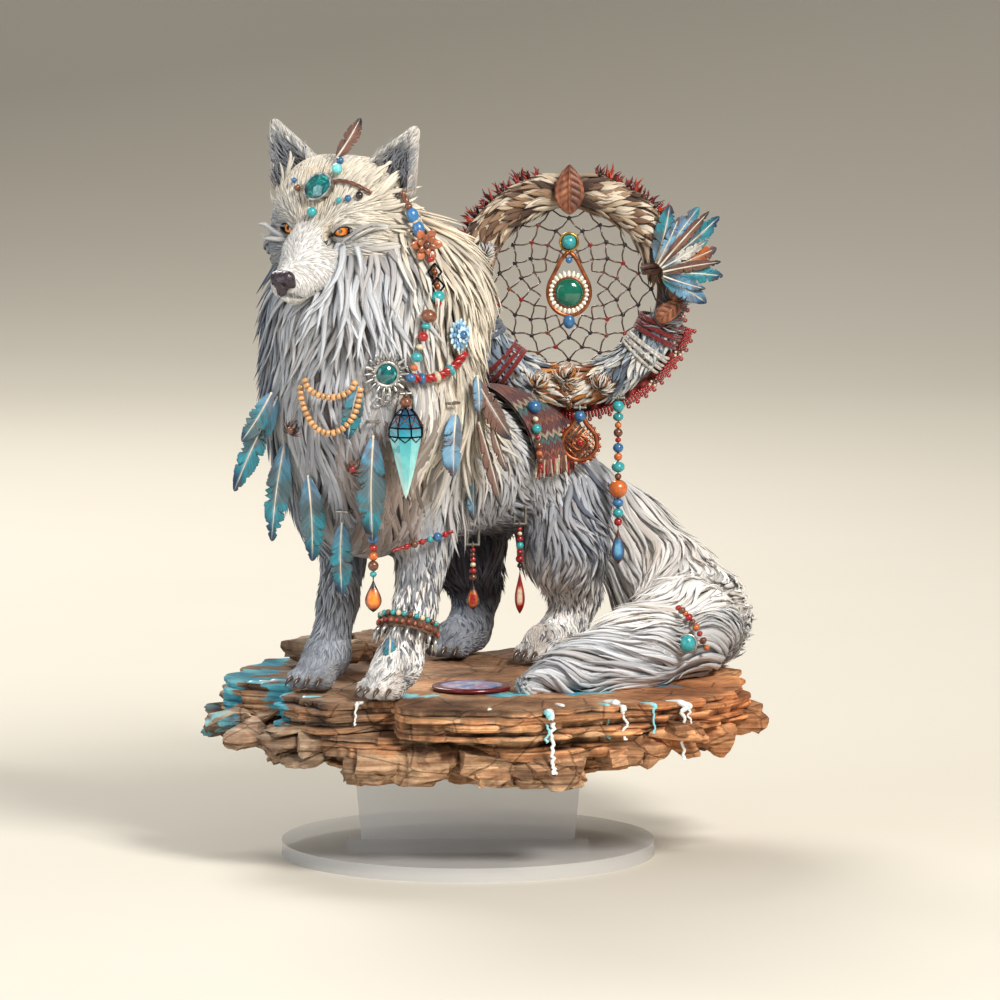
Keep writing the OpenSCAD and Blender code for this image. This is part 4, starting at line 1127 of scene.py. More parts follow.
# ---- Feathers ----
def feather_material(name, base, bright, dark):
    """Barbs slant from the shaft to the edge; strand holds the place across and along, and a number."""
    s = Shader(name, Roughness=0.5, Specular_IOR_Level=0.35, Sheen_Weight=0.2)
    strand = s.attribute("strand")
    parts = s.node("SeparateXYZ", _0=strand).outputs
    across = s.sum("ABSOLUTE", parts[0], 0.0)
    slant = s.sum("SUBTRACT", parts[1], s.sum("MULTIPLY", across, 0.16))
    lines = s.node("CombineXYZ", X=s.sum("MULTIPLY", slant, 60.0), Y=s.sum("MULTIPLY", across, 0.6),
                   Z=parts[2]).outputs[0]
    barbs = s.noise(1.3, lines, 3, 0.7)
    wide = s.noise(0.12, lines, 2, 0.5)
    colour = s.tinted(barbs, (0.32, dark), (0.5, base), (0.68, bright))
    colour = s.mixed(1.0, colour, s.ramp(wide, (0.35, 0.75), (0.65, 1.15)), "MULTIPLY")
    return s.look(Base_Color=colour, Normal=s.bump(barbs, 0.0005, 0.7))


BARBS = feather_material("feather_barbs", 0.95, 1.2, 0.5)
s = Shader("feather_shaft", Roughness=0.4)
SHAFT = s.look(Base_Color=s.ramp(s.noise(300), (0.3, paint(0.72, 0.68, 0.6)), (0.7, paint(0.92, 0.9, 0.84))))


def feather(quill, down, wide, out, length, half, seed, bend=0.0, droop=0.0, rows=70, columns=12):
    """A feather from its quill: a thin closed vane with slanting, split barbs, and its shaft."""
    draw = np.random.default_rng(seed)
    t = np.linspace(0, 1, rows)
    shape = np.sin(math.pi * t**0.8) ** 0.7
    s = np.linspace(-1, 1, columns)
    notch = np.zeros((2, rows))
    for side in (0, 1):
        saw = (t * draw.uniform(26, 32) + draw.uniform()) % 1
        notch[side] = 0.15 * saw
        for at in draw.uniform(0.25, 0.92, draw.integers(4, 8)):
            notch[side] += draw.uniform(0.2, 0.55) * np.exp(-(((t - at) / 0.014) ** 2))
    width = half * shape[:, None] * np.where(s < 0, 1 - notch[0][:, None], 1 - notch[1][:, None])
    lag = t[:, None] + 0.09 * np.abs(s) * shape[:, None] - 0.03
    lag = np.clip(lag, 0, 1)
    x = s * width
    sway = bend * np.sin(math.pi * t * 0.9) * half
    y = 0.16 * np.abs(s * width) + 0.12 * half * np.sin(lag * 9 + seed) * s * 0.4
    y = y + droop * (t**2)[:, None] * half
    mid = quill + down * (lag * length)[..., None] + wide * (x + sway[:, None])[..., None]
    face = [mid - out * (y - side)[..., None] for side in (0.17, -0.17)]
    front, back = (f.reshape(-1, 3) for f in face)
    quad = grid_quads(rows, columns)
    n = rows * columns
    rim = np.concatenate([np.arange(columns), np.arange(1, rows) * columns + columns - 1,
                          n - 2 - np.arange(columns - 1), (rows - 2 - np.arange(rows - 2)) * columns])
    nxt = np.roll(rim, -1)
    wall = np.stack([rim, nxt, nxt + n, rim + n], -1)
    verts, faces = np.vstack([front, back]), [quad[:, ::-1], quad + n, wall]
    strand = np.stack([np.broadcast_to(s, (rows, columns)), lag, np.full((rows, columns), seed % 17 * 1.7)],
                      -1)
    strand = np.vstack([strand.reshape(-1, 3)] * 2)
    spine = quill + down * (t * length * 0.93)[:, None] + wide * sway[:, None]
    spine = spine - out * (droop * t**2 * half)[:, None]
    spine = np.vstack([quill - down * length * 0.03, spine[:: rows // 14]])
    shaft = tube(spine + out * 0.12, np.linspace(0.34, 0.1, len(spine)), 6)
    return verts, faces, strand, shaft


def plate_frame(co, quill_up=True, toward=None):
    """Where a flat CAD feather is: quill, the ways down, across and out from its face, length, half width."""
    centre = co.mean(0)
    _, _, axes = np.linalg.svd(co - centre)
    down, wide, out = axes
    spans = [(co - centre) @ a for a in (down, wide, out)]
    centre = centre + sum(a * (s.max() + s.min()) / 2 for a, s in zip((down, wide, out), spans))
    length = spans[0].max() - spans[0].min()
    half = (spans[1].max() - spans[1].min()) / 2
    if toward is not None:
        down = down * np.sign(dot(down, centre - toward))
    else:
        down = down * (-np.sign(down[2]) if quill_up else np.sign(down[2]))
    if out[1] > 0:
        out = -out
    wide = np.cross(down, out)
    return centre - down * length / 2, down, wide, out, length, half


TEAL, SKY, DEEP, RUST, INK = (paint(0.2, 0.54, 0.6), paint(0.44, 0.63, 0.76), paint(0.07, 0.2, 0.33),
                              paint(0.46, 0.32, 0.27), paint(0.1, 0.11, 0.15))


def feather_piece(name, node, places, colours, body=FIGURE, droop=0.12):
    vanes, shafts, strands, tints = [], [], [], []
    for k, (place, colour) in enumerate(zip(places, colours)):
        verts, faces, strand, shaft = feather(*place, seed=hash_of(name) + k, bend=(-1) ** k * 0.15,
                                              droop=droop)
        root, body_colour, tip = colour
        t = strand[:, 1]
        tint = mix(mix(root, body_colour, ramp(t, 0.05, 0.45)), tip,
                   ramp(t + 0.08 * strand[:, 0], 0.72, 0.95))
        tint = mix(tint, WHITE, ramp(np.abs(strand[:, 0]), 0.25, 0.05) * 0.3)
        patch = wobble(strand * vec(1.2, 9, 3), 4, hash_of(name) + k)
        tint = mix(tint, RUST * 0.8, ramp(patch, 0.25, 0.8) * 0.5)
        # One half of each vane is painted lighter and the other darker, as painted light and shade across the
        # fold at the shaft.
        tint = tint * np.where(strand[:, [0]] > 0, 1.1, 0.85)
        vanes.append((verts, faces))
        shafts.append(shaft)
        strands.append(strand)
        tints.append(tint)
    verts, faces = joined(vanes)
    vane = make(name + "_vanes", verts, faces, BARBS, body, tint=np.vstack(tints),
                strand=np.vstack(strands))
    if node:
        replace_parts(vane, node)
    verts, faces = joined(shafts)
    make(name + "_shafts", verts, faces, SHAFT, body)


def hash_of(text):
    return sum(ord(c) * (i + 3) for i, c in enumerate(text)) % 1000


BLUES = (SKY * 0.95, TEAL * 0.95, DEEP)
BROWNS = (RUST * 1.1, RUST * 0.8, INK)
for node, colours in (("left_feather_fan", [BLUES, BLUES, BLUES, BLUES]),
                      ("flank_feathers", [(TEAL, SKY, INK), (SKY, SKY, DEEP), BROWNS, BROWNS, BROWNS]),
                      ("chest_feather_short", [BLUES]), ("brow_feather", [(RUST, RUST * 1.1, INK)])):
    places = [plate_frame(co, node != "brow_feather") for co in islands(node)]
    feather_piece(node, node, places, colours * 2)
hoop = middle("hoop_rod")
places = [plate_frame(co, toward=hoop) for co in islands("hoop_feather_spray")]
feather_piece("hoop_feather_spray", "hoop_feather_spray", places,
              [(SKY, TEAL, DEEP), (SKY, SKY, TEAL), BLUES, (TEAL, SKY, DEEP),
               (RUST, paint(0.85, 0.45, 0.2), DEEP), BLUES])
places.sort(key=lambda place: math.atan2(place[1][0], place[1][2]))
between = [((a[0] + b[0]) / 2 - vec(0, 1.3, 0), unit(a[1] + b[1]), unit(a[2] + b[2]), unit(a[3] + b[3]),
            (a[4] + b[4]) * (0.5 if k % 2 else 0.4), (a[5] + b[5]) * 0.26)
           for k, (a, b) in enumerate(zip(places, places[1:]))]
feather_piece("hoop_feather_fill", None, between,
              [(paint(0.75, 0.72, 0.68), SKY, RUST), (RUST, RUST * 1.2, INK),
              (SKY, paint(0.85, 0.85, 0.82), TEAL), (RUST * 1.1, RUST, INK), (DEEP, SKY, INK), BLUES])
for node, body, colours in (("long_feather", "long_plume", (SKY, TEAL * 0.9, INK)),
                            ("leg_feather", "leg_plume", BLUES),
                            ("shoulder_feather", "shoulder_plume", (SKY * 1.1, SKY, DEEP))):
    co = islands(node)[0]
    pin, _ = pin_of(body)
    plate = co[np.linalg.norm(co - pin, axis=1) > 1.6]
    feather_piece(node, node, [plate_frame(plate)], [colours], body)


# ---- Hoop ----
HOOP = hoop
RING_R, UPPER_R = 28.0, 5.6


def ring_part(p):
    """Angle round the hoop from its top, clockwise from the front, and the distance to the rod's middle."""
    r = p - HOOP
    return np.arctan2(r[:, 0], r[:, 2]), np.hypot(np.hypot(r[:, 0], r[:, 2]) - RING_R, r[:, 1])


def wrap_field(radius):
    return lambda p: ring_part(p)[1] - radius


def wrap_surface(node, radius, step=0.9, rough=0.3):
    """The hide under the tufts: a tube round the part of the hoop that its CAD node covers."""
    co = np.vstack(islands(node))
    a, _ = ring_part(co)
    a = np.sort(a)
    gaps = np.append(np.diff(a), a[0] + 2 * math.pi - a[-1])
    k = np.argmax(gaps)
    start, end = (a[(k + 1) % len(a)], a[k])
    if end < start:
        end += 2 * math.pi
    n = int((end - start) * RING_R / step)
    theta = np.linspace(start, end, n)
    phi = np.linspace(0, 2 * math.pi, 30, endpoint=False)
    t, f = np.meshgrid(theta, phi, indexing="ij")
    r = radius * (1 - 0.5 * np.clip(1 - np.minimum(t - start, end - t) / 0.06, 0, 1) ** 2)
    r = r + rough * wobble(np.stack([t * RING_R, r * np.cos(f) * 2, r * np.sin(f) * 2], -1).reshape(-1, 3),
                           7, 3).reshape(t.shape)
    d = RING_R + r * np.cos(f)
    verts = HOOP + np.stack([d * np.sin(t), -r * np.sin(f), d * np.cos(t)], -1).reshape(-1, 3)
    sides = len(phi)
    caps = np.array([np.arange(sides)[::-1], np.arange(sides) + (n - 1) * sides])
    return verts, [ring_faces(n, sides), caps], (start, end)


def palette(colours, n, seed):
    draw = np.random.default_rng(seed)
    return np.array(colours)[draw.choice(len(colours), n)]


HIDE = [paint(0.78, 0.7, 0.6), paint(0.6, 0.48, 0.38), paint(0.45, 0.34, 0.27), paint(0.86, 0.8, 0.72),
        paint(0.32, 0.24, 0.2)]
COOL = [paint(0.72, 0.75, 0.78), paint(0.5, 0.56, 0.62), paint(0.86, 0.86, 0.85), paint(0.36, 0.4, 0.46)]
WARM = [paint(0.85, 0.55, 0.28), paint(0.93, 0.88, 0.8), paint(0.6, 0.36, 0.22), paint(0.97, 0.95, 0.92)]
HAIR = fur_material("hide_tufts", 0.35, 0.55, 0.7)
s = Shader("wrapped_hide", Roughness=0.8)
HIDE_SKIN = s.look(Base_Color=s.ramp(s.noise(260, detail=5), (0.3, paint(0.24, 0.18, 0.15)),
                                     (0.7, paint(0.5, 0.4, 0.33))),
                   Normal=s.bump(s.noise(500), 0.0006, 0.6))
for node, radius, seed in (("hide_wrap_upper", UPPER_R, 1), ("hide_wrap_lower", 6.6, 2)):
    verts, faces, (start, end) = wrap_surface(node, radius - 1.1)
    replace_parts(make(node + "_hide", verts, faces, HIDE_SKIN), node)
    lower = node == "hide_wrap_lower"
    radial = np.hypot(*(verts - HOOP)[:, [0, 2]].T) - RING_R
    roots = chosen(verts, radial < 4.2 if lower else radial > -9, 1.9, seed)
    a, _ = ring_part(roots)

    def hoop_flow(p):
        """Away from the top on both sides, opening outwards."""
        r = p - HOOP
        around = unit(np.stack([r[:, 2], 0 * r[:, 0], -r[:, 0]], -1)) * np.sign(r[:, [0]] + 1e-6)
        out = unit(r * vec(1, 0, 1))
        return around + out * 0.35

    field = wrap_field(radius - 1.1)
    length, width = (6.5, 1.1) if lower else (8.5, 1.5)
    verts, faces, strand, lock = locks(roots, hoop_flow, field, length, width, lay=0.25, lift=1.3, rings=6,
                                       sides=6, curl=0.25, sink=0.3, seed=seed + 40, flat=0.3)
    tint = palette(COOL if lower else HIDE, len(roots), seed)
    if lower:
        warm = np.abs(np.abs(a) - math.pi) < 0.45
        tint[warm] = palette(WARM, warm.sum(), seed)
    make(node + "_tufts", verts, faces, HAIR, tint=tint[lock], strand=strand)


def puff(name, centre, radius, reach, colours, seed):
    """A ball of down: fine hairs standing out all round."""
    draw = np.random.default_rng(seed)
    roots = centre + unit(draw.normal(size=(420, 3))) * radius
    roots = roots[thinned(roots, 0.8, seed)]
    verts, faces, strand, lock = locks(roots, lambda p: (p - centre) * vec(1, 0.3, 1) + vec(0.4, 0, 0.6),
                                       lambda p: np.linalg.norm(p - centre, axis=1) - radius, reach, 0.34,
                                       lift=reach * 0.75,
                                       lay=0.1, rings=4, sides=5, sink=0.4, seed=seed, curl=0.5, flat=0.8)
    tint = palette(colours, len(roots), seed)[lock]
    make(name, verts, faces, HAIR, tint=tint, strand=strand)


puff("puff_orange", HOOP + vec(-1, -6.8, -25), 2.4, 3.4, WARM, 3)
puff("puff_white", HOOP + vec(9, -6.6, -27), 2.0, 3.0, WARM[1:], 4)
puff("puff_tan", HOOP + vec(-9, -6.6, -26.5), 2.0, 3.0, WARM, 6)
puff("puff_left", HOOP + vec(-24, -5.6, 11), 1.9, 2.6, [WHITE, CREAM, SILVER], 5)

# Quills: curved, tapered spines where the CAD ones stand
def quill_line(co):
    """The foot and the tip of a CAD quill."""
    r = np.linalg.norm(co - HOOP, axis=1)
    return co[r < r.min() + 0.4].mean(0), co[np.argmax(r)]


s = Shader("quill_lacquer", Roughness=0.4)
QUILL = s.look(Base_Color=s.tinted(s.noise(700), (0.3, 0.6), (0.7, 1.1)))
lines = [quill_line(co) for co in islands("quill_fringe")]
spines = []
for k, (base, tip) in enumerate(lines):
    t = np.linspace(0, 1, 8)[:, None]
    around = unit(np.cross(tip - base, vec(0, 1, 0)))
    c = [paint(0.5, 0.1, 0.1), paint(0.36, 0.08, 0.09), paint(0.62, 0.2, 0.12)][k % 3]
    spines.append((tube(base + (tip - base) * t + around * 0.5 * np.sin(t * 3.14) * (-1) ** k,
                        0.62 * (1 - t[:, 0]) ** 0.8 + 0.05, 7), c))
    # The side quill set behind is painted darker and the one in front lighter, as painted shade and light.
    for side, shade in ((-1, 0.7), (1, 1.2)):
        lean = (tip - base) * 0.62 + around * side * 1.3
        spines.append((tube(base + vec(0, -0.6 * side, 0) + lean * t, 0.42 * (1 - t[:, 0]) + 0.04, 6),
                       c * shade))
lines.sort(key=lambda line: ring_part(line[0][None])[0][0])
draw = np.random.default_rng(77)
for (b0, t0), (b1, t1) in zip(lines, lines[1:]):
    if np.linalg.norm(b1 - b0) > 7:
        continue
    for f in draw.uniform(0, 1, 4):
        base = b0 + (b1 - b0) * f + vec(0, draw.uniform(-2.5, 2.5), 0)
        tip = t0 + (t1 - t0) * f
        lean = (tip - base) * draw.uniform(0.55, 0.95) + unit(b1 - b0) * draw.normal(0, 0.9)
        lean = lean + vec(0, draw.normal(0, 0.8), 0)
        t = np.linspace(0, 1, 7)[:, None]
        spine = tube(base + lean * t + unit(b1 - b0) * draw.uniform(-0.7, 0.7) * np.sin(t * 3.1),
                     0.45 * (1 - t[:, 0]) ** 0.8 + 0.04, 6)
        reds = paint(0.5, 0.1, 0.1), paint(0.3, 0.06, 0.08), paint(0.66, 0.24, 0.14), paint(0.2, 0.08, 0.08)
        spines.append((spine, reds[draw.integers(4)]))
piece("quills", spines, QUILL, replaces="quill_fringe")


# ---- Beads ----
def ball_mesh(centre, r, squash=1.0, axis=None, hole=0.28, rows=9, sides=14):
    """A bead with a hole through it along axis."""
    axis = vec(0, 0, 1) if axis is None else unit(axis)
    a = unit(np.cross(axis, vec(0.31, 0.87, 0.37)))
    b = np.cross(axis, a)
    lat = np.linspace(math.asin(min(hole, 0.9)), math.pi - math.asin(min(hole, 0.9)), rows)
    rad = np.concatenate([np.sin(lat), [hole * 0.8, hole * 0.8]]) * r
    up = np.concatenate([np.cos(lat), [-0.7, 0.7]]) * r * squash
    th = np.arange(sides) * 2 * math.pi / sides
    ring = a * np.cos(th)[:, None] + b * np.sin(th)[:, None]
    verts = (ring[None] * rad[:, None, None] + axis * up[:, None, None]).reshape(-1, 3) + centre
    return verts, ring_faces(rows + 2, sides, closed=True)[:, ::-1]


def bead_material(name, rough=0.3, coat=0.6, mottle=0.35):
    """Glazed or stone beads, tinted one by one, with veins and worn spots."""
    s = Shader(name, Roughness=rough, Coat_Weight=coat, Coat_Roughness=0.12)
    veins = s.noise(900, detail=5, bend=1.2)
    colour = s.tinted(veins, (0.32, 1 - mottle), (0.5, 1.0), (0.72, 1 + mottle * 0.6))
    return s.look(Base_Color=colour, Normal=s.bump(veins, 0.0002, 0.4))


BEAD = bead_material("glazed_beads")


def beads(name, items, body=FIGURE, replaces=None):
    """items: (centre, radius, colour, squash, axis)"""
    parts = [(ball_mesh(c, r, squash, axis, rows=9 if r > 1.2 else 7, sides=16 if r > 1.2 else 12), colour)
             for c, r, colour, squash, axis in items]
    piece(name, parts, BEAD, body, replaces)


TURQ, AQUA, RED, ORANGE, BROWN, BLUE, BONE = (paint(0.2, 0.6, 0.62), paint(0.45, 0.8, 0.8),
                                              paint(0.62, 0.1, 0.1),
    paint(0.78, 0.4, 0.18), paint(0.42, 0.25, 0.17), paint(0.2, 0.4, 0.58), paint(0.85, 0.78, 0.66))

# The red band: seed beads sewn round a core, in a stepped pattern
items, lace = [], []
for co in islands("red_bead_band"):
    a = np.unwrap(np.sort(ring_part(co)[0]))
    if np.abs(co[:, 2] - HOOP[2]).max() > 20 and co[:, 2].mean() < HOOP[2]:
        a = np.where(a < 0, a + 2 * math.pi, a)
    reach = np.hypot(*(co - HOOP)[:, [0, 2]].T)
    radius = (reach.max() + reach.min()) / 2
    section = (co[:, 1].max() - co[:, 1].min()) / 2
    n = int((a.max() - a.min()) * radius / 0.92)
    for i in range(n):
        theta = a.min() + (a.max() - a.min()) * (i + 0.5) / n
        for j in range(8):
            phi = (j + 0.5 * (i % 2)) * math.pi / 4
            reach = radius + (section - 0.32) * math.cos(phi)
            c = HOOP + vec(reach * math.sin(theta), -(section - 0.32) * math.sin(phi),
                           reach * math.cos(theta))
            step = (i + abs(j - 2)) % 12
            colour = (RED if step < 7 else paint(0.35, 0.05, 0.07) if step < 9
                      else BONE if step == 9 else RED * 1.3)
            items.append((c, 0.5, colour, 0.85, vec(math.cos(theta), 0, -math.sin(theta))))
        if i % 3 == 0:
            reach = radius + section + 0.35
            items.append((HOOP + vec(reach * math.sin(theta), 0, reach * math.cos(theta)), 0.75, RED * 0.8,
                          0.7, vec(0, 1, 0)))
    lace.append((a.min(), a.max(), radius - section * 0.5))
parts = [(ball_mesh(c, r, squash, axis, 0.3, 4, 7), colour) for c, r, colour, squash, axis in items]
piece("red_seed_beads", parts, BEAD, replaces="red_bead_band")


# ---- Hanging strings ----
s = Shader("pendant_steel", Metallic=0.9, Roughness=0.35)
STEEL = s.look(Base_Color=s.ramp(s.noise(800), (0.3, paint(0.42, 0.4, 0.38)), (0.7, paint(0.68, 0.66, 0.62))))


def hung_string(name, child, radii, colours, node, charm, charm_length, charm_colours):
    """Beads on a cord below a pin, a wire eye at its top, and a drop charm."""
    pin, out = pin_of(child)
    side = np.cross(out, vec(0, 0, 1))
    items, z = [], pin[2] - 0.8
    for k, r in enumerate(radii):
        z -= r * 0.94
        c = np.array(colours[k % len(colours)])
        squash = (1.0, 0.82, 0.94)[k % 3] if r > 0.8 else 0.9
        items.append((vec(pin[0], pin[1], z), r, c, squash, vec(0, 0, 1)))
        z -= r * 0.94
    beads(name + "_beads", items, child, node)
    angle = np.linspace(0, 2 * math.pi, 25)[:-1]
    eye = pin + np.outer(np.cos(angle), vec(0, 0, 0.72)) + np.outer(np.sin(angle), out * 0.72)
    verts, faces = joined([tube(np.vstack([eye, eye[:1]]), 0.22, 8, side),
                           tube(np.array([pin - vec(0, 0, 0.8), vec(pin[0], pin[1], z - 0.5)]), 0.2, 8, out)])
    make(name + "_cord", verts, faces, STEEL, child)
    t = np.linspace(0, 1, 22)
    prof = np.sin(math.pi * t**1.7) ** 0.85 * 0.96
    prof[0], prof[-1] = 0.12, 0.02
    a = np.linspace(0, 2 * math.pi, 28, endpoint=False)
    flat = 1 - 0.25 * np.abs(np.sin(a))
    rings = [vec(pin[0], pin[1], z - charm_length * tt)
             + (np.outer(np.cos(a), side) + np.outer(np.sin(a) * flat, out)) * (charm * p)
             for tt, p in zip(t, prof)]
    verts = np.vstack(rings)
    caps = np.array([np.arange(28), (np.arange(28) + 21 * 28)[::-1]])
    faces = [ring_faces(22, 28)[:, ::-1], caps]
    level = np.repeat(t, 28)
    facing = np.tile(np.abs(np.sin(a)), 22)
    tint = mix(charm_colours[0], charm_colours[1],
               ramp(facing, 0.35, 0.75) * ramp(np.abs(level - 0.6), 0.32, 0.22))
    tint = mix(tint, charm_colours[2], ramp(facing, 0.8, 0.95) * ramp(np.abs(level - 0.6), 0.2, 0.13))
    make(name + "_charm", verts, faces, BEAD, child, tint=tint)


BLACK = paint(0.12, 0.1, 0.1)
hung_string("front_drop", "front_pendant", [0.7, 0.9, 1.1, 1.5, 1.2, 1.3, 1.5, 1],
            [BLUE, TURQ, BROWN, BLUE, RED, ORANGE, BROWN, TURQ], "front_drop", 2.4, 9.6,
            (BLACK, ORANGE, paint(0.95, 0.55, 0.2)))
hung_string("belly_drop", "belly_pendant", [0.7, 0.7, 0.8, 0.8, 1, 1], [RED, BROWN, RED, BONE, RED, BROWN],
            "belly_drop", 1.8, 8.4, (BLACK, ORANGE * 0.8, RED))
hung_string("flank_drop", "flank_pendant", [0.7, 0.7, 0.9, 1.1, 0.9, 1.2, 0.8],
            [RED, BONE, RED, TURQ, RED, RED * 0.7, BLACK],
            "flank_drop", 1.5, 13, (RED * 0.5, RED, BONE))
hung_string("long_strand", "bead_strand", [1.7, 1.5, 1, 1.3, 0.9, 1.5, 1.2, 1.9, 1, 2.7, 1.6, 1.5, 1.2],
            [TURQ, TURQ * 0.8, ORANGE, BROWN, RED, BLUE, ORANGE, TURQ, BROWN, ORANGE, BLUE * 1.2, TURQ, RED],
            "long_bead_strand", 1.9, 11, (BROWN * 0.6, BLUE, paint(0.4, 0.65, 0.8)))

# ---- Metals, gems, bark and clear sheet; the CAD parts that stay take theirs here ----
def dress(node, material):
    mesh = frame["nodes"][node].data
    mesh.materials.clear()
    mesh.materials.append(material)


s = Shader("tarnished_silver", Metallic=0.85, Roughness=0.32)
SILVER_METAL = s.look(Base_Color=s.ramp(s.noise(600, detail=6), (0.35, paint(0.3, 0.29, 0.28)),
                                        (0.6, paint(0.75, 0.74, 0.72))),
                      Normal=s.bump(s.noise(900), 0.0002, 0.4))
s = Shader("deep_gem", Roughness=0.08, Coat_Weight=1.0, Coat_Roughness=0.03, IOR=1.6)
GEM = s.look(Base_Color=s.ramp(s.noise(380, detail=5, bend=1.5), (0.3, paint(0.0, 0.16, 0.2)),
                               (0.55, paint(0.03, 0.42, 0.42)),
                               (0.75, paint(0.35, 0.8, 0.72))))
s = Shader("polished_nose", Roughness=0.28, Specular_IOR_Level=0.5)
pores = s.cells(1600)
NOSE = s.look(Base_Color=s.ramp(pores, (0.0, paint(0.1, 0.08, 0.1)), (0.6, paint(0.24, 0.2, 0.23))),
              Normal=s.bump(pores, 0.0002, 0.5))
s = Shader("carved_wood", Roughness=0.5)
grain = s.noise(260, s.scaled(s.place(), (1, 1, 0.25)), 5, 0.6, 0.6)
WOOD = s.look(Base_Color=s.tinted(grain, (0.3, paint(0.2, 0.12, 0.09)), (0.55, paint(0.42, 0.27, 0.2)),
                                  (0.75, paint(0.62, 0.45, 0.34))), Normal=s.bump(grain, 0.0003, 0.5))
s = Shader("clear_acrylic", IOR=1.3, Specular_IOR_Level=0.4, Coat_Weight=0.4)
haze = s.noise(6, detail=2)
ACRYLIC = s.look(Roughness=s.ramp(haze, (0.3, 0.3), (0.7, 0.4)),
                 Base_Color=s.ramp(haze, (0.3, 0.86), (0.7, 0.93)),
                 Alpha=0.42)
s = Shader("willow_bark", Roughness=0.75)
WILLOW = s.look(Base_Color=s.ramp(s.noise(300), (0.3, paint(0.25, 0.16, 0.12)),
                                  (0.7, paint(0.45, 0.32, 0.24))))
for node, material in {
        "base_disc": ACRYLIC, "stand_tab": ACRYLIC, "foot_pins": STEEL, "hanger_pins": STEEL,
        "brow_setting": SILVER_METAL, "sun_setting": SILVER_METAL, "brow_stone": GEM, "sun_stone": GEM,
        "hoop_rod": WILLOW,
        "leg_bracelet": WILLOW}.items():
    dress(node, material)


s = Shader("aged_metal", Metallic=0.85, Roughness=0.36)
METAL = s.look(Base_Color=s.tinted(s.noise(700, detail=5), (0.35, 0.5), (0.6, 1.1)))
s = Shader("tinted_crystal", Roughness=0.1, Coat_Weight=1.0, Coat_Roughness=0.04, Transmission_Weight=0.2,
           IOR=1.5)
cloud = s.noise(160, s.scaled(s.place(), (1, 1, 0.35)), 5, 0.6, 1.5)
ICE = s.look(Base_Color=s.tinted(cloud, (0.3, 0.6), (0.7, 1.35)))
s = Shader("woven_cloth", Roughness=0.85, Sheen_Weight=0.3)
weave = s.cells(1100, "F1", s.scaled(s.place(), (1, 1, 0.7)))
WOVEN = s.look(Base_Color=s.tinted(weave, (0.1, 1.1), (0.7, 0.6)), Normal=s.bump(weave, 0.0004, 0.7))
SILVERY, COPPER, DARK = paint(0.75, 0.74, 0.72), paint(0.62, 0.36, 0.24), paint(0.1, 0.09, 0.1)


# ---- Carved, strung and woven ornaments ----
def egg(centre, along, out, sizes, rows=8, sides=12):
    """An ellipsoid with half sizes along, across and out."""
    along = unit(along)
    across = unit(np.cross(out, along))
    out = np.cross(along, across)
    lat = np.linspace(0.06, math.pi - 0.06, rows)
    th = np.arange(sides) * 2 * math.pi / sides
    ring = across * (sizes[1] * np.cos(th))[:, None] + out * (sizes[2] * np.sin(th))[:, None]
    verts = ring[None] * np.sin(lat)[:, None, None] + along * (sizes[0] * np.cos(lat))[:, None, None]
    caps = np.array([np.arange(sides), (np.arange(sides) + (rows - 1) * sides)[::-1]])
    return verts.reshape(-1, 3) + centre, [ring_faces(rows, sides)[:, ::-1], caps]


def flower(centre, out, layers):
    """layers: (petals, reach, length, width, lift, colour)"""
    out = unit(out)
    side = unit(np.cross(out, vec(0, 0, 1)))
    top = np.cross(side, out)
    parts = []
    for n, reach, length, width, lift, colour in layers:
        for k in range(n):
            a = 2 * math.pi * k / n + lift * 2
            along = side * math.cos(a) + top * math.sin(a)
            parts.append((egg(centre + along * reach + out * lift, along + out * 0.3, out,
                              (length / 2, width / 2, 0.4)),
                          colour * (1.15 if k % 2 else 0.85)))
    return parts


def spaced(path, step):
    """Points at even steps along a path, and its direction at each."""
    s = np.concatenate([[0], np.cumsum(np.linalg.norm(np.diff(path, axis=0), axis=1))])
    n = max(int(s[-1] / step), 2)
    at = (np.arange(n) + 0.5) * s[-1] / n
    points = np.stack([np.interp(at, s, path[:, k]) for k in range(3)], -1)
    return points, unit(np.gradient(points, axis=0))


def braid(path, thick, turns=0.16, strands=3):
    points, along = spaced(path, 0.4)
    up = unit(np.cross(along, vec(0.1, 0.9, 0.3)))
    side = np.cross(along, up)
    out = []
    for k in range(strands):
        a = (np.arange(len(points)) * 0.4 * turns + k / strands) * 2 * math.pi
        out.append(tube(points + (up * np.cos(a)[:, None] + side * np.sin(a)[:, None]) * thick * 0.5,
                        thick * 0.55, 8))
    return out


def hoop_of(centre, out, radius, thick):
    out = unit(out)
    side = unit(np.cross(out, vec(0.01, 0.02, 1)))
    a = np.linspace(0, 2 * math.pi, 33)
    path = centre + np.outer(np.cos(a), side) * radius + np.outer(np.sin(a), np.cross(side, out)) * radius
    return tube(path, thick, 8, out)


def on_mane(az, reach, z):
    a = np.radians(az)
    return np.stack(np.broadcast_arrays(MANE_AT[0] + np.sin(a) * reach, MANE_AT[1] - np.cos(a) * reach,
                                        ROCK_TOP + z), -1)


def on_front(x, z, gap, field=body_field):
    """The points of the wolf seen from the front at x and z, gap in front of its skin."""
    p = np.stack(np.broadcast_arrays(np.asarray(x, float), -80.0, np.asarray(z, float)), -1)
    p = p.reshape(-1, 3).copy()
    for _ in range(60):
        p[:, 1] += np.clip(field(p) - gap, -2, 5) * 0.8
    return p


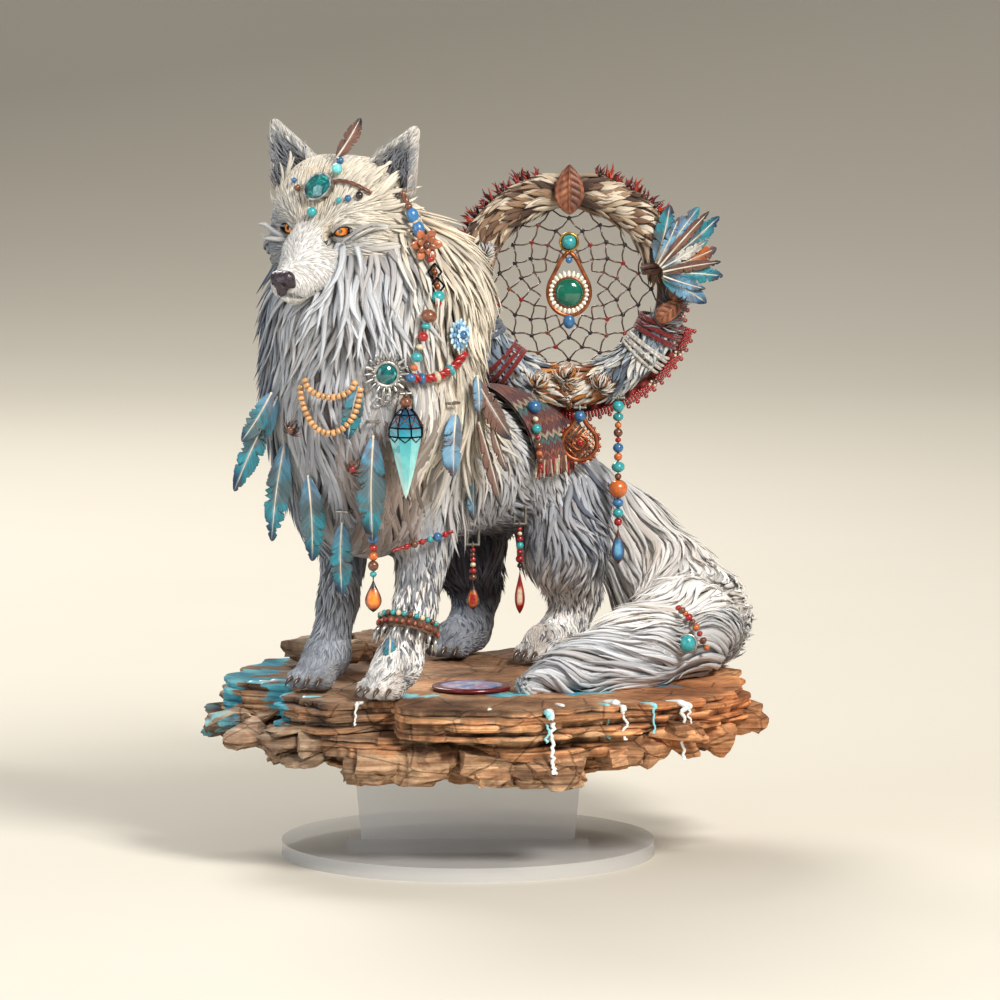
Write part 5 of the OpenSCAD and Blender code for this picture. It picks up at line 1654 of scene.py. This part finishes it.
# The flat painted disc on the rock
low, high = box_mm("painted_shield")
centre, r = (low + high) / 2, (high - low)[0] / 2
th = np.arange(72) * 2 * math.pi / 72
rings, tints = [], []
for f, z in [(1, low[2] + 0.1)] + [(k / 16, high[2] - 0.25 * (k / 16) ** 4)
                                   for k in range(16, 0, -1)] + [(0.01, high[2])]:
    rings.append(np.stack([centre[0] + f * r * np.cos(th), centre[1] + f * r * np.sin(th), z + 0 * th], -1))
    n = wobble(rings[-1], 7, 12)
    c = mix(paint(0.86, 0.84, 0.9), paint(0.5, 0.6, 0.78), ramp(n, 0.0, 0.5))
    c = mix(c, paint(0.72, 0.5, 0.66), ramp(-n, 0.1, 0.5) * 0.8)
    c = mix(c, paint(0.4, 0.07, 0.1), ramp(f + 0.04 * n, 0.74, 0.82))
    tints.append(c)
caps = np.array([np.arange(72)[::-1], np.arange(72) + 17 * 72])
verts, faces = np.vstack(rings), [ring_faces(18, 72), caps]
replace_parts(make("painted_disc", verts, faces, BEAD, tint=np.vstack(tints)),
            "painted_shield")

# Two loops of short wooden beads on the chest
a = np.linspace(0, math.pi, 120)
parts = []
for depth, spread, top in ((5, 14, 91.5), (13, 16.6, 89.6)):
    points, along = spaced(on_mane(-22 - spread * np.cos(a), 31.2, top - depth * np.sin(a)), 1.5)
    parts += [(ball_mesh(c, 1.0, 0.78, d, 0.32, 7, 12),
               paint(0.82, 0.62, 0.42) * (0.8 + 0.3 * (k * 7 % 5) / 4))
              for k, (c, d) in enumerate(zip(points, along))]
piece("wooden_bead_loops", parts, BEAD, replaces="tan_bead_loops")

# The red braided collar, with a ring at its end
az = np.linspace(19, 57, 60)
path = on_mane(az, 30.6, 91.3 + 0.0085 * (az - 30) ** 2)
parts = [(m, RED * f) for m, f in zip(braid(path, 1.25), (1.1, 0.75, 0.95))]
parts += [(ball_mesh(path[k], 1.75, 0.6, path[k + 1] - path[k - 1]), c)
          for k, c in ((12, BLUE), (26, BONE * 0.8), (40, TURQ))]
piece("braided_collar", parts, BEAD, replaces="collar_cord")
piece("collar_ring", [(hoop_of(path[-1], vec(0.8, -0.6, 0), 1.7, 0.4), SILVERY)], METAL)

# The strand from the ear: braid, two blue ovals, a carved flower, wire diamonds and a turquoise
t = np.linspace(-0.28, 1, 50)
strand_at = lambda t: np.stack([-15 + 7 * np.sin(np.pi / 2 * t), -43.3 - 3.5 * t, ROCK_TOP + 135.5 - 24 * t],
                               -1)
path = strand_at(t)
piece("ear_braid", [(m, BROWN * f) for m, f in zip(braid(path, 0.8), (1.3, 0.8, 1.0))], BEAD,
      replaces="cheek_strand")
out = vec(0.35, -1, 0.05)
parts = [(egg(strand_at(np.array(f)), path[-1] - path[20], out, (2.2, 1.7, 1.5), 12, 18),
          paint(0.22, 0.45, 0.66))
         for f in (0.0, 0.15)]
parts += [(ball_mesh(strand_at(np.array(f)), r, 0.85, path[-1] - path[20]), c) for f, r, c in
          ((-0.1, 1.1, BROWN), (0.075, 1.0, BONE * 0.8), (0.5, 1.1, RED), (0.55, 0.9, BONE * 0.7),
           (0.72, 0.9, BROWN),
           (0.92, 2.0, TURQ * 1.1), (1.0, 1.1, RED))]
piece("ear_strand_beads", parts, BEAD)
centre = strand_at(np.array(0.33)) + unit(out) * 0.8
piece("carved_flower",
      flower(centre, out, [(6, 2.6, 4.2, 2.6, 0.0, COPPER * 1.2), (6, 1.5, 2.8, 1.9, 0.7, COPPER * 0.8)]) +
      [(ball_mesh(centre + unit(out) * 1.1, 1.1), BROWN * 0.7)], BEAD)
side = unit(np.cross(out, vec(0, 0, 1)))
parts = []
for f in (0.64, 0.8):
    c = strand_at(np.array(f)) + unit(out) * 0.6
    corners = np.array([c + vec(0, 0, 2.4), c + side * 2.0, c - vec(0, 0, 2.4), c - side * 2.0,
                        c + vec(0, 0, 2.4)])
    parts += [(tube(corners[i:i + 2], 0.3, 6), DARK) for i in range(4)]
    parts.append((ball_mesh(c, 0.8), COPPER))
piece("wire_diamonds", parts, METAL)
i = np.arange(7)
places = on_mane(29.3 - 1.6 * i, 32.3, 108.8 - 2.8 * i)
beads("throat_beads", [(c, r, colour, q, places[1] - places[0]) for c, r, colour, q in zip(
    places, (2.3, 1.3, 1.5, 1.2, 1.6, 1.1, 1.4), (BROWN * 1.4, TURQ, RED, BONE, TURQ * 1.1, ORANGE, BLUE),
    (0.8, 0.7, 0.9, 0.7, 0.85, 0.8, 0.9))], replaces="collar_beads")

# The brow beads in their own colours
spots = sorted(islands("brow_beads"), key=lambda co: to_head(co.mean(0)[None])[0][0])
colours = [BLUE, BROWN, TURQ, BLUE * 0.8, AQUA, TURQ, BLUE, BLACK, ORANGE, TURQ, BROWN, TURQ]
beads("brow_bead_row", [((co.max(0) + co.min(0)) / 2, (co.max(0) - co.min(0)).max() / 2 + 0.05,
                         colours[k % len(colours)], 0.95, vec(1, 0, 0.2)) for k, co in enumerate(spots)],
      replaces="brow_beads")

# Rosette of thin petals
centre, out = on_mane(52.5, 30.2, 102.6), vec(math.sin(0.916), -math.cos(0.916), 0.05)
parts = flower(centre, out, [(14, 3.1, 3.2, 1.5, 0.0, paint(0.72, 0.84, 0.9)),
                             (11, 2.3, 2.8, 1.4, 0.6, paint(0.4, 0.6, 0.76)),
                             (8, 1.4, 2.2, 1.2, 1.1, paint(0.8, 0.88, 0.92))])
parts.append((ball_mesh(centre + out * 1.5, 1.25), BLUE))
piece("petal_rosette", parts, BEAD, replaces="flower_rosette")

# The long crystal under its wired cap
low, high = box_mm("crystal_pendant")
pin, out = pin_of("crystal")
side = np.cross(out, vec(0, 0, 1))
r = (high - low)[:2].max() / 2
top, bottom = pin[2] - 4.2, low[2]
a = np.arange(8) * math.pi / 4
profile = [(0, 0.3), (0.06, 0.62), (0.2, 1.0), (0.3, 1.0), (0.45, 0.8), (0.75, 0.42), (0.93, 0.16), (1, 0.02)]
rings = [vec(pin[0], pin[1], top + (bottom - top) * t)
         + (np.outer(np.cos(a + 0.2 * t), side) + np.outer(np.sin(a + 0.2 * t), out)) * r * f
         for t, f in profile]
tint = [paint(0.06, 0.2, 0.32), paint(0.08, 0.32, 0.46), paint(0.1, 0.45, 0.56), paint(0.2, 0.62, 0.68),
        paint(0.3, 0.72, 0.74),
        paint(0.5, 0.84, 0.84), paint(0.75, 0.94, 0.92), paint(0.85, 0.97, 0.95)]
caps = np.array([np.arange(8)[::-1], np.arange(8) + 56])
crystal = make("faceted_crystal", np.vstack(rings), [ring_faces(8, 8), caps], ICE, "crystal",
               False,
               np.repeat(tint, 8, axis=0))
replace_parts(crystal, "crystal_pendant")
parts = []
for k in range(8):
    line = np.array([rings[j][k] for j in range(4)])
    n = (k + 1) % 8
    parts += [(tube(line, 0.22, 6), DARK),
              (tube(np.array([rings[1][k], rings[2][n]]), 0.15, 6), COPPER * 0.6),
              (tube(np.array([rings[1][n], rings[2][k]]), 0.15, 6), COPPER * 0.6),
              (tube(np.array([rings[3][k], (rings[3][k] * 0.5 + rings[3][n] * 0.5) * 0.6
                              + (rings[4][k] + rings[4][n]) * 0.2,
                              rings[3][n]]), 0.2, 6), DARK)]
    parts += [(tube(np.array([rings[j][k], rings[j][n]]), 0.24, 6), DARK) for j in (1, 2, 3)]
parts += [(hoop_of(pin, side, 0.75, 0.24), SILVERY),
          (tube(np.array([pin - vec(0, 0, 0.8), vec(pin[0], pin[1], top)]), 0.3, 8), DARK)]
piece("crystal_cap", parts, METAL, "crystal")
beads("crystal_bead", [(vec(pin[0], pin[1], pin[2] - 2.4), 1.7, BROWN * 1.2, 0.9, vec(0, 0, 1))], "crystal")

# Studs, beads and a small feather on the leg band
centre = middle("leg_bracelet")
tip_axis = vec(0.2113, 0.366, 0.906)
bx = vec(0.866, -0.5, 0)
by = np.cross(tip_axis, bx)
parts, spikes = [], []
for k in range(30):
    a = 2 * math.pi * k / 30
    d = bx * math.cos(a) + by * math.sin(a)
    parts.append((ball_mesh(centre + d * 8.3 + tip_axis * 2.0, 0.85, 0.9, np.cross(tip_axis, d)),
                  [TURQ, BROWN, TURQ, BONE][k % 4]))
    parts.append((ball_mesh(centre + d * 8.5 - tip_axis * 0.2, 0.6, 0.9, np.cross(tip_axis, d)),
                  [COPPER, RED][k % 2]))
    if k % 2:
        foot = centre + d * 8.1 - tip_axis * 1.7
        spikes.append((tube(np.array([foot, foot + d * 0.7 - tip_axis * 1.4,
                                      foot + d * 1.0 - tip_axis * 4.2]),
                            np.array([0.75, 0.6, 0.05]), 8), SILVERY))
piece("bracelet_beads", parts, BEAD)
piece("bracelet_spikes", spikes, METAL)
front = unit(vec(-0.5, -0.85, 0))
feather_piece("bracelet_feather", None,
              [(centre + front * 9.4 - vec(0, 0, 1), unit(vec(-0.12, -0.1, -1)), vec(1, 0, -0.12),
                                          front, 9.5, 1.9)], [BLUES])


# Carved leaves: the crest, and two plaques where the spray starts
def leaf(centre, up, out, half_w, half_h, thick, veins=6, power=0.75):
    up, out = unit(up), unit(out)
    side = np.cross(up, out)
    v, u = np.linspace(0.001, 0.999, 71)[:, None], np.linspace(-1, 1, 41)[None]
    w = half_w * np.sin(math.pi * v**0.85) ** power
    slant = np.abs(np.sin((v * veins + np.abs(u) * 1.1) * math.pi))
    dome = np.sqrt(np.clip(1 - u**2, 0, 1)) ** 0.7 * np.sin(math.pi * v) ** 0.3
    border = np.exp(-(((np.abs(u) - 0.82) / 0.07) ** 2))
    mid = np.exp(-((u / 0.09) ** 2))
    h = thick * dome * (0.6 + 0.35 * slant * (1 - border) + 0.3 * border + 0.45 * mid)
    flat = centre + side * (u * w)[..., None] + up * ((v * 2 - 1) * half_h + 0 * u)[..., None]
    verts = np.vstack([(flat + out * h[..., None]).reshape(-1, 3),
                       (flat - out * h[..., None] * 0.4).reshape(-1, 3)])
    quad = grid_quads(71, 41)
    shade = (0.5 + 0.75 * slant * (1 - mid) + 0.9 * mid + 0.7 * border).reshape(-1, 1)
    colour = np.vstack([np.clip(shade, 0.4, 1.7) * vec(1.15, 0.95, 0.85)] * 2)
    return (verts, [quad[:, ::-1], quad + 71 * 41]), colour


low, high = box_mm("leaf_crest")
half = (high - low) / 2
mesh, colour = leaf((low + high) / 2 - vec(0, half[1] * 0.5, 0), vec(0, 0, 1), vec(0, -1, 0), half[0],
                    half[2], half[1] * 1.3, 7)
piece("carved_leaf", [(mesh, colour)], WOOD, replaces="leaf_crest")
parts = []
for x, z, lean, w, h in ((60.5, 157.5, 0.5, 3.2, 5.2), (57, 150, 0.9, 2.8, 4.6)):
    mesh, colour = leaf(vec(x, HOOP[1] - 7.2, z), vec(math.sin(lean), 0, math.cos(lean)), vec(0.1, -1, 0), w,
                        h, 1.0, 5, 0.5)
    parts.append((mesh, colour))
piece("carved_plaques", parts, WOOD)
puff("puff_dark", vec(55.5, HOOP[1] - 4.5, 146), 3.2, 4.2, [UMBER, ASH, SLATE, SILVER], 8)
puff("puff_grey", vec(58.5, HOOP[1] - 3.5, 153), 2.6, 3.6, [SLATE, SILVER, UMBER], 9)

# The lattice medallion
pin, out = pin_of("medallion")
side = np.cross(out, vec(0, 0, 1))
low, high = box_mm("filigree_medallion")
centre = vec(pin[0], pin[1], low[2] + 5.6)
to_medal = lambda x, z: centre + np.outer(x, side) + np.outer(z, vec(0, 0, 1))
a = np.linspace(0, 2 * math.pi, 65)
reach = 4.95 + 2.9 * np.exp(-((np.abs(np.mod(a + math.pi, 2 * math.pi) - math.pi) / 0.3) ** 1.6))
parts = [(tube(to_medal(np.sin(a) * reach, np.cos(a) * reach), 0.7, 8, out), COPPER * 1.1),
         (hoop_of(centre, out, 2.1, 0.4), COPPER)]
for k in range(-4, 5):
    for lean in (1, -1):
        c = k * 1.15
        reach = math.sqrt(max(4.9**2 - c**2, 0.1))
        n, d = np.array([lean, 1]) / math.sqrt(2), np.array([1, -lean]) / math.sqrt(2)
        ends = np.array([n * c + d * reach, n * c - d * reach])
        parts.append((tube(to_medal(ends[:, 0], ends[:, 1]), 0.27, 6), paint(0.7, 0.46, 0.32)))
piece("lattice_medallion", parts, METAL, "medallion", "filigree_medallion")
rim_at = to_medal(np.sin(a[:-1:2]) * 5.75, np.cos(a[:-1:2]) * 5.75)[2:-1]
items = [(c, 0.5, [RED, BONE, RED * 0.6][k % 3], 0.9, out) for k, c in enumerate(rim_at)]
items += [(pin - vec(0, 0, 2.5), 1.7, BLUE, 0.95, vec(0, 0, 1)), (centre + out * 0.5, 1.0, RED, 0.8, out)]
beads("medallion_beads", items, "medallion")
piece("medallion_eye", [(hoop_of(pin, side, 0.75, 0.24), SILVERY)], METAL, "medallion")

# Silver rays round the sun stone
centre, out = on_mane(8, 30.6, 93.0), vec(math.sin(0.14), -math.cos(0.14), 0)
parts = flower(centre, out, [(18, 4.7, 3.4, 0.9, 0.0, SILVERY), (18, 3.6, 1.6, 0.8, 0.09, SILVERY * 0.7)])
parts += [(hoop_of(centre, out, 3.3, 0.5), SILVERY)]
parts += [(hoop_of(centre + vec(d, 0, -6.6 - 0.5 * abs(d)), out, 1.1, 0.25), SILVERY * 0.9)
          for d in (-2.2, 0, 2.2)]
piece("sun_rays", parts, METAL)

# Cord wound round the hoop
parts = []
for start, n, thick, colour in ((1.9, 6, 0.55, RED * 0.55), (2.18, 5, 0.5, paint(0.85, 0.83, 0.8)),
                                (3.75, 6, 0.5, RED * 0.6),
                                (4.15, 5, 0.5, paint(0.36, 0.4, 0.46)), (1.25, 4, 0.5, BROWN)):
    for k in range(n):
        t = start + k * 0.037
        tangent = vec(math.cos(t), 0.05 * (-1) ** k, -math.sin(t))
        parts.append((hoop_of(HOOP + RING_R * vec(math.sin(t), 0, math.cos(t)), tangent,
                              6.5 if math.cos(t) < 0.3 else 6.0, thick),
                      colour * (0.85 + 0.15 * (k % 2))))
piece("hoop_windings", parts, WOVEN)

# Red lace between the wraps and the beaded band
for k, (a0, a1, far) in enumerate(lace):
    n = int((a1 - a0) * far / 0.35)
    t, f = np.linspace(a0, a1, n)[:, None], np.linspace(0, 1, 15)[None]
    r = far - 5.5 + 5.5 * f + 0 * t
    y = 0.5 * np.sin(t * 40) * f
    flat = np.stack([HOOP[0] + r * np.sin(t), HOOP[1] - 0.2 + y, HOOP[2] + r * np.cos(t)], -1).reshape(-1, 3)
    knot = (np.sin(t * far * 1.6) * np.sin(f * 12.6 + 0.4)).reshape(-1)
    tint = mix(RED * 0.62, paint(0.14, 0.03, 0.05), ramp(knot, 0.1, 0.4))
    tint = mix(tint, paint(0.72, 0.3, 0.26), ramp(-knot, 0.55, 0.8))
    quad = grid_quads(n, 15)
    verts = np.vstack([flat - vec(0, 0.45, 0), flat + vec(0, 0.45, 0)])
    make("red_lace_%d" % k, verts, [quad, quad[:, ::-1] + 15 * n], WOVEN,
         tint=np.vstack([tint, tint]))

# The web: rounds of thread, each knotted half a step on from the last
y = middle("web_threads")[1]
reach = (28, 23.4, 20.2, 17.0, 13.9, 11.0, 8.3)
knot_at = lambda k, i: vec(HOOP[0] + reach[k] * math.sin((i + 0.5 * k) * math.pi / 7), y,
                           HOOP[2] + reach[k] * math.cos((i + 0.5 * k) * math.pi / 7))
threads, knots = [], []
for k in range(6):
    for i in range(14):
        for j in (i, i - 1):
            a, b = knot_at(k, i), knot_at(k + 1, j)
            threads.append((tube(np.array([a, (a + b) / 2 + (HOOP - (a + b) / 2) * vec(0.03, 0, 0.03), b]),
                                 0.24, 7),
                            paint(0.3, 0.2, 0.15) * (0.8 + 0.3 * (k % 2))))
        if 0 < k < 5:
            knots.append((ball_mesh(knot_at(k, i), 0.72, 0.9, vec(0, 1, 0), rows=5, sides=9),
                          [RED * 0.7, BLACK, BLACK, BROWN, BLACK][(i + 3 * k) % 5]))
piece("web_cords", threads, BEAD, replaces="web_threads")
piece("web_knots", knots, BEAD, replaces="web_beads")

# The pendant in the middle of the web
out = vec(0, -1, 0)
centre = vec(*middle("web_pendant")[:2], HOOP[2] - 1)
a = np.linspace(0, 2 * math.pi, 81)
turn = np.mod(a + math.pi, 2 * math.pi) - math.pi
reach = 6.5 + 5.0 * np.exp(-((np.abs(turn) / 0.42) ** 1.5))
shape = centre + np.outer(np.sin(a) * reach * 0.92, vec(1, 0, 0)) + np.outer(np.cos(a) * reach, vec(0, 0, 1))
parts = [(tube(shape, 0.62, 9, out), COPPER * 1.15), (hoop_of(centre, out, 4.3, 0.45), COPPER),
         (hoop_of(centre + vec(0, 0, 14.4), out, 2.5, 0.4), paint(0.75, 0.58, 0.3)),
         (tube(np.array([centre + vec(0, 0, 10.8), centre + vec(0, 0, 12.2)]), 0.45, 8), COPPER)]
piece("pendant_frame", parts, METAL, replaces="web_pendant")
parts = []
for k in range(26):
    f = 2 * math.pi * k / 26
    d = vec(math.sin(f), 0, math.cos(f))
    round_turn, round_reach = (np.concatenate([w[40:-1], w[:41]]) for w in (turn, reach))
    far = min(np.interp(f if f < math.pi else f - 2 * math.pi, round_turn, round_reach) * 0.93, 8.8)
    parts.append((egg(centre + d * (4.5 + far) / 2, d, out, ((far - 4.5) / 2 + 0.25, 0.52, 0.6)),
                  paint(0.92, 0.9, 0.84)))
parts.append((ball_mesh(centre + vec(0, 0, 9.2), 1.0), BLUE))
parts.append((ball_mesh(centre + vec(0, 0, 14.4), 2.15, 1, vec(1, 0, 0)), TURQ))
parts.append((egg(centre - vec(0, 0, 8.3), vec(0, 0, 1), out, (2.1, 1.7, 1.6), 12, 18), BLUE * 1.1))
piece("pendant_bars", parts, BEAD)
parts = [(egg(centre, vec(0, 0, 1), out, (4.15, 4.15, 2.2), 16, 32), paint(0.03, 0.42, 0.34))]
piece("emerald_cabochon", parts, ICE)

# The patterned cloth over the back, and its fringe
u, v = np.linspace(22.5, 55.5, 90)[:, None], np.linspace(-2.0, 2.0, 200)[None]
q = np.stack(np.broadcast_arrays(34 * np.sin(v), u, 60 + 34 * np.cos(v)), -1).reshape(-1, 3)
cloth_field = lambda q: body_parts(from_wolf(q))["torso"] - 1.75
q = settle(q, cloth_field, 8)
placed = from_wolf(q)
masses = body_parts(placed)
others = np.min([d for k, d in masses.items() if k != "torso"], axis=0)
inside = (q[:, 2] > 60) & (others > 0.4) & (np.abs(cloth_field(q)) < 0.3)
quad = grid_quads(90, 200)
quad = quad[inside[quad].all(1)]
used, quad = np.unique(quad, return_inverse=True)
quad = quad.reshape(-1, 4)
down, along = 86 - q[used][:, 2], q[used][:, 1]
zig = np.abs((along / 4.2) % 1 - 0.5) * 4.2
band = (down - zig * 0.7) % 8.6
c = np.tile(paint(0.42, 0.07, 0.09), (len(used), 1))
for start, end, colour in ((0, 1.1, BONE), (1.1, 1.9, BLACK), (1.9, 2.7, TURQ * 0.8), (5.2, 5.8, ORANGE)):
    c = np.where(((band >= start) & (band < end))[:, None], colour * 0.85, c)
normals = gradient(cloth_field, q[used])
verts = np.vstack([placed[used], from_wolf(q[used] - normals * 0.6)])
cloth = make("patterned_cloth", verts, [quad[:, ::-1], quad + len(used)], WOVEN,
             tint=np.vstack([c, c]) * 0.6)
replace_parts(cloth, "saddle_cloth")
hem = inside & (q[:, 2] < 61.2)
hem = chosen(placed, hem, 0.9, 3)
draw = np.random.default_rng(8)
parts = []
for knot in hem:
    t = np.linspace(0, 1, 5)[:, None]
    fall = vec(draw.normal(0, 0.3), draw.normal(0, 0.3), -draw.uniform(4, 5.5))
    parts.append((tube(knot + fall * t + vec(0, 0, 0.6), 0.3, 5),
                  [RED * 0.8, BROWN, BONE * 0.8, RED][draw.integers(4)]))
fringe = piece("cloth_fringe", parts, WOVEN)

# Small beads and tufts tied into the coat
t = np.linspace(0, 1, 24)
cord = on_front(-44 + 18 * t, 190 + 3.5 * np.sin(3.1 * t), 1.2, head_world)
piece("head_cord", [(m, BROWN * f) for m, f in zip(braid(cord, 0.55), (1.2, 0.8, 1.0))], BEAD)
radii = np.array([2.1, 0.9, 1.5, 0.8, 1.3, 0.9, 1.1, 0.8])
fall = 126 - np.cumsum(radii + np.append(0, radii[:-1]))
side_strand = on_front(18.4 + 0.12 * (126 - fall), fall, 3.2)
beads("side_strand", [(c, r, colour, 0.9, vec(0, 0, 1)) for c, r, colour in
                      zip(side_strand, radii, (BLUE, BONE, TURQ, RED, BROWN, ORANGE, BROWN, RED))])
t = np.linspace(0, 1, 9)
chain = on_front(59 + 8 * t, 70 - 12 * t + 2 * np.sin(3 * t), 4.6)
items = [(c, 1.15 if k % 2 else 0.9, [RED, BROWN, ORANGE * 0.8][k % 3], 0.85, vec(0.6, 0, -0.8))
         for k, c in enumerate(chain)]
gem = on_front(61.5, 60.5, 4.4)[0]
beads("tail_beads", items)
piece("tail_gem", [(egg(gem - vec(0, 0.6, 0), vec(0, 0, 1), vec(0, -1, 0), (2.4, 2.2, 1.7), 12, 20), TURQ)],
      BEAD)
piece("tail_bezel", [(hoop_of(gem, vec(0, -1, 0), 2.5, 0.4), SILVERY)], METAL)
tie = on_front(-21 + 17 * t, 90.5 + 4.5 * t, 1.2)
parts = [(m, RED * f) for m, f in zip(braid(tie, 0.5), (1.0, 0.7, 0.9))]
piece("leg_tie", parts, BEAD)
beads("leg_tie_beads", [(c + vec(0, -0.5, 0), r, colour, 0.9, vec(1, 0, 0.3)) for c, r, colour in
                        zip(tie[2:8], (0.9, 1.1, 0.9, 1.0, 1.4, 0.9), (RED, BROWN, RED, TURQ, BLUE, RED))])
for k, (x, z) in enumerate(((-31.4, 115.4), (-48.4, 125.6))):
    c = on_front(x, z, 5.0)[0]
    puff("chest_tuft_%d" % k, c, 1.5, 2.6, [UMBER * 1.2, RUST, DUSK], 20 + k)
    beads("chest_tuft_bead_%d" % k, [(c + vec(0, -2.6, 0.4), 1.0, (RED * 0.8, BROWN)[k], 0.9, vec(1, 0, 0))])

s = Shader("tinted_horn", Roughness=0.3, Coat_Weight=0.3)
HORN = s.look(Base_Color=s.tinted(s.noise(900), (0.3, 0.7), (0.7, 1.15)))
verts, faces = joined(claws)
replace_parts(make("curved_claws", verts, faces, HORN, tint=np.vstack(claw_tint)),
            "claws")


# Eyes: an amber iris with a dark pupil and rim
def eye_ball(side):
    centre = EYE * vec(side, 1, 1)
    out = unit(EYE_OUT * vec(side, 1, 1) + vec(-0.25 * side, 0, 0))
    lat = np.linspace(0, math.pi, 40)
    th = np.arange(40) * 2 * math.pi / 40
    a = unit(np.cross(out, vec(0, 0, 1)))
    b = np.cross(a, out)
    ring = a * np.cos(th)[:, None] + b * np.sin(th)[:, None]
    lat[0], lat[-1] = 0.01, math.pi - 0.01
    verts = (ring[None] * np.sin(lat)[:, None, None] + out * np.cos(lat)[:, None, None]).reshape(-1,
            3) * (EYE_R + 0.05) + centre
    angle = np.repeat(lat, 40)
    spoke = 0.12 * np.sin(np.tile(th, 40) * 17) + 0.08 * np.sin(np.tile(th, 40) * 29)
    amber = mix(paint(0.95, 0.55, 0.12), paint(0.65, 0.27, 0.05), ramp(angle + spoke * 0.4, 0.3, 0.6))
    tint = mix(paint(0.02, 0.01, 0.01), amber, ramp(angle, 0.15, 0.21))
    tint = mix(tint, paint(0.1, 0.05, 0.03), ramp(angle, 0.56, 0.68))
    caps = np.array([np.arange(40), (np.arange(40) + 39 * 40)[::-1]])
    return from_head(verts), [ring_faces(40, 40)[:, ::-1], caps], tint


s = Shader("amber_eye", Roughness=0.05, Coat_Weight=1.0, Coat_Roughness=0.02, Specular_IOR_Level=0.6)
IRIS = s.look(Base_Color=s.tinted(s.noise(2200), (0.3, 0.75), (0.7, 1.1)))
pair = [eye_ball(side) for side in (-1, 1)]
verts, faces = joined([(v, f) for v, f, _ in pair])
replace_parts(make("eyeballs", verts, faces, IRIS, tint=np.vstack([t for *_, t in pair])),
            "eyes")


def nose_field(q):
    m = mirrored(q)
    d = round_cone(q, [-1.5, -26.8, -17.6, 2.2], [1.5, -26.8, -17.6, 2.2])
    d = blend_min(d, round_cone(q, [0, -27, -18.5, 2.1], [0, -27.2, -21, 1.5]), 1.5)
    d = blend_min(d, round_cone(m, [2.3, -26.6, -18.6, 1.2], [2.6, -25.6, -19.4, 0.9]), 1.0)
    hole = np.linalg.norm((m - vec(1.75, -29.1, -19.2)) * vec(1, 0.7, 1.25), axis=1) - 0.85
    comma = round_cone(m, [2.2, -28.2, -19.6, 0.4], [3.5, -26.4, -20.2, 0.3])
    line = np.maximum(np.abs(q[:, 0]) - 0.16, -28.6 - q[:, 1])
    line = np.maximum(line, q[:, 2] + 19.2)
    return np.maximum(np.maximum(np.maximum(d, -hole), -comma), -line - 0.05)


verts, faces = grid_surface(nose_field, vec(-5, -30.5, -24), vec(5, -23.5, -14), 0.17)
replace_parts(make("nose_pad", from_head(verts), faces, NOSE), "nose")


# ---- Room ----
disc = middle("base_disc")
s = Shader("studio_floor", Roughness=0.85)
sweep = np.linspace(0, math.pi / 2, 24)
profile = np.vstack([[[-3000, 0]], np.stack([1200 + 1500 * np.sin(sweep), 1500 - 1500 * np.cos(sweep)], -1),
                     [[2700, 5000]]])
verts = np.vstack([np.column_stack([np.full(len(profile), x), profile]) for x in (-4000, 4000)])
i = np.arange(len(profile) - 1)
floor = make("studio_floor", verts, np.stack([i, i + len(profile), i + len(profile) + 1, i + 1], -1),
             s.look(Base_Color=s.ramp(s.noise(2), (0.3, paint(0.78, 0.76, 0.71)),
                                      (0.7, paint(0.8, 0.78, 0.74)))), body="stand")
floor.parent = None
world = bpy.data.worlds.new("studio")
bpy.context.scene.world = world
world.use_nodes = True
world.node_tree.nodes["Background"].inputs[0].default_value = (0.72, 0.69, 0.64, 1)
world.node_tree.nodes["Background"].inputs[1].default_value = 0.36


def lamp(name, place, aim, size, power, colour=(1, 1, 1)):
    data = bpy.data.lights.new(name, "AREA")
    data.size, data.energy, data.color = size, power, colour
    obj = bpy.data.objects.new(name, data)
    obj.location = place * MM
    direction = (aim - place) * MM
    obj.rotation_euler = Vector(direction).to_track_quat("-Z", "Y").to_euler()
    bpy.context.scene.collection.objects.link(obj)
    return obj


aim = disc + vec(9, 0, 98)
lamp("key", aim + vec(600, -900, 900), aim, 0.4, 25, (1, 0.96, 0.9))
lamp("fill", aim + vec(-900, -700, 300), aim, 0.9, 6, (0.85, 0.92, 1))
lamp("rim", aim + vec(-400, 900, 800), aim, 0.6, 14, (1, 0.97, 0.92))
camera = bpy.data.cameras.new("camera")
camera.lens, camera.clip_end = 321, 50
eye = bpy.data.objects.new("camera", camera)
tilt = math.radians(7)
at = aim + vec(0, -math.cos(tilt), math.sin(tilt)) * 2500
eye.location = at * MM
eye.rotation_euler = Vector(aim - at).to_track_quat("-Z", "Y").to_euler()
bpy.context.scene.collection.objects.link(eye)
bpy.context.scene.camera = eye
bpy.context.scene.view_settings.view_transform = "Standard"
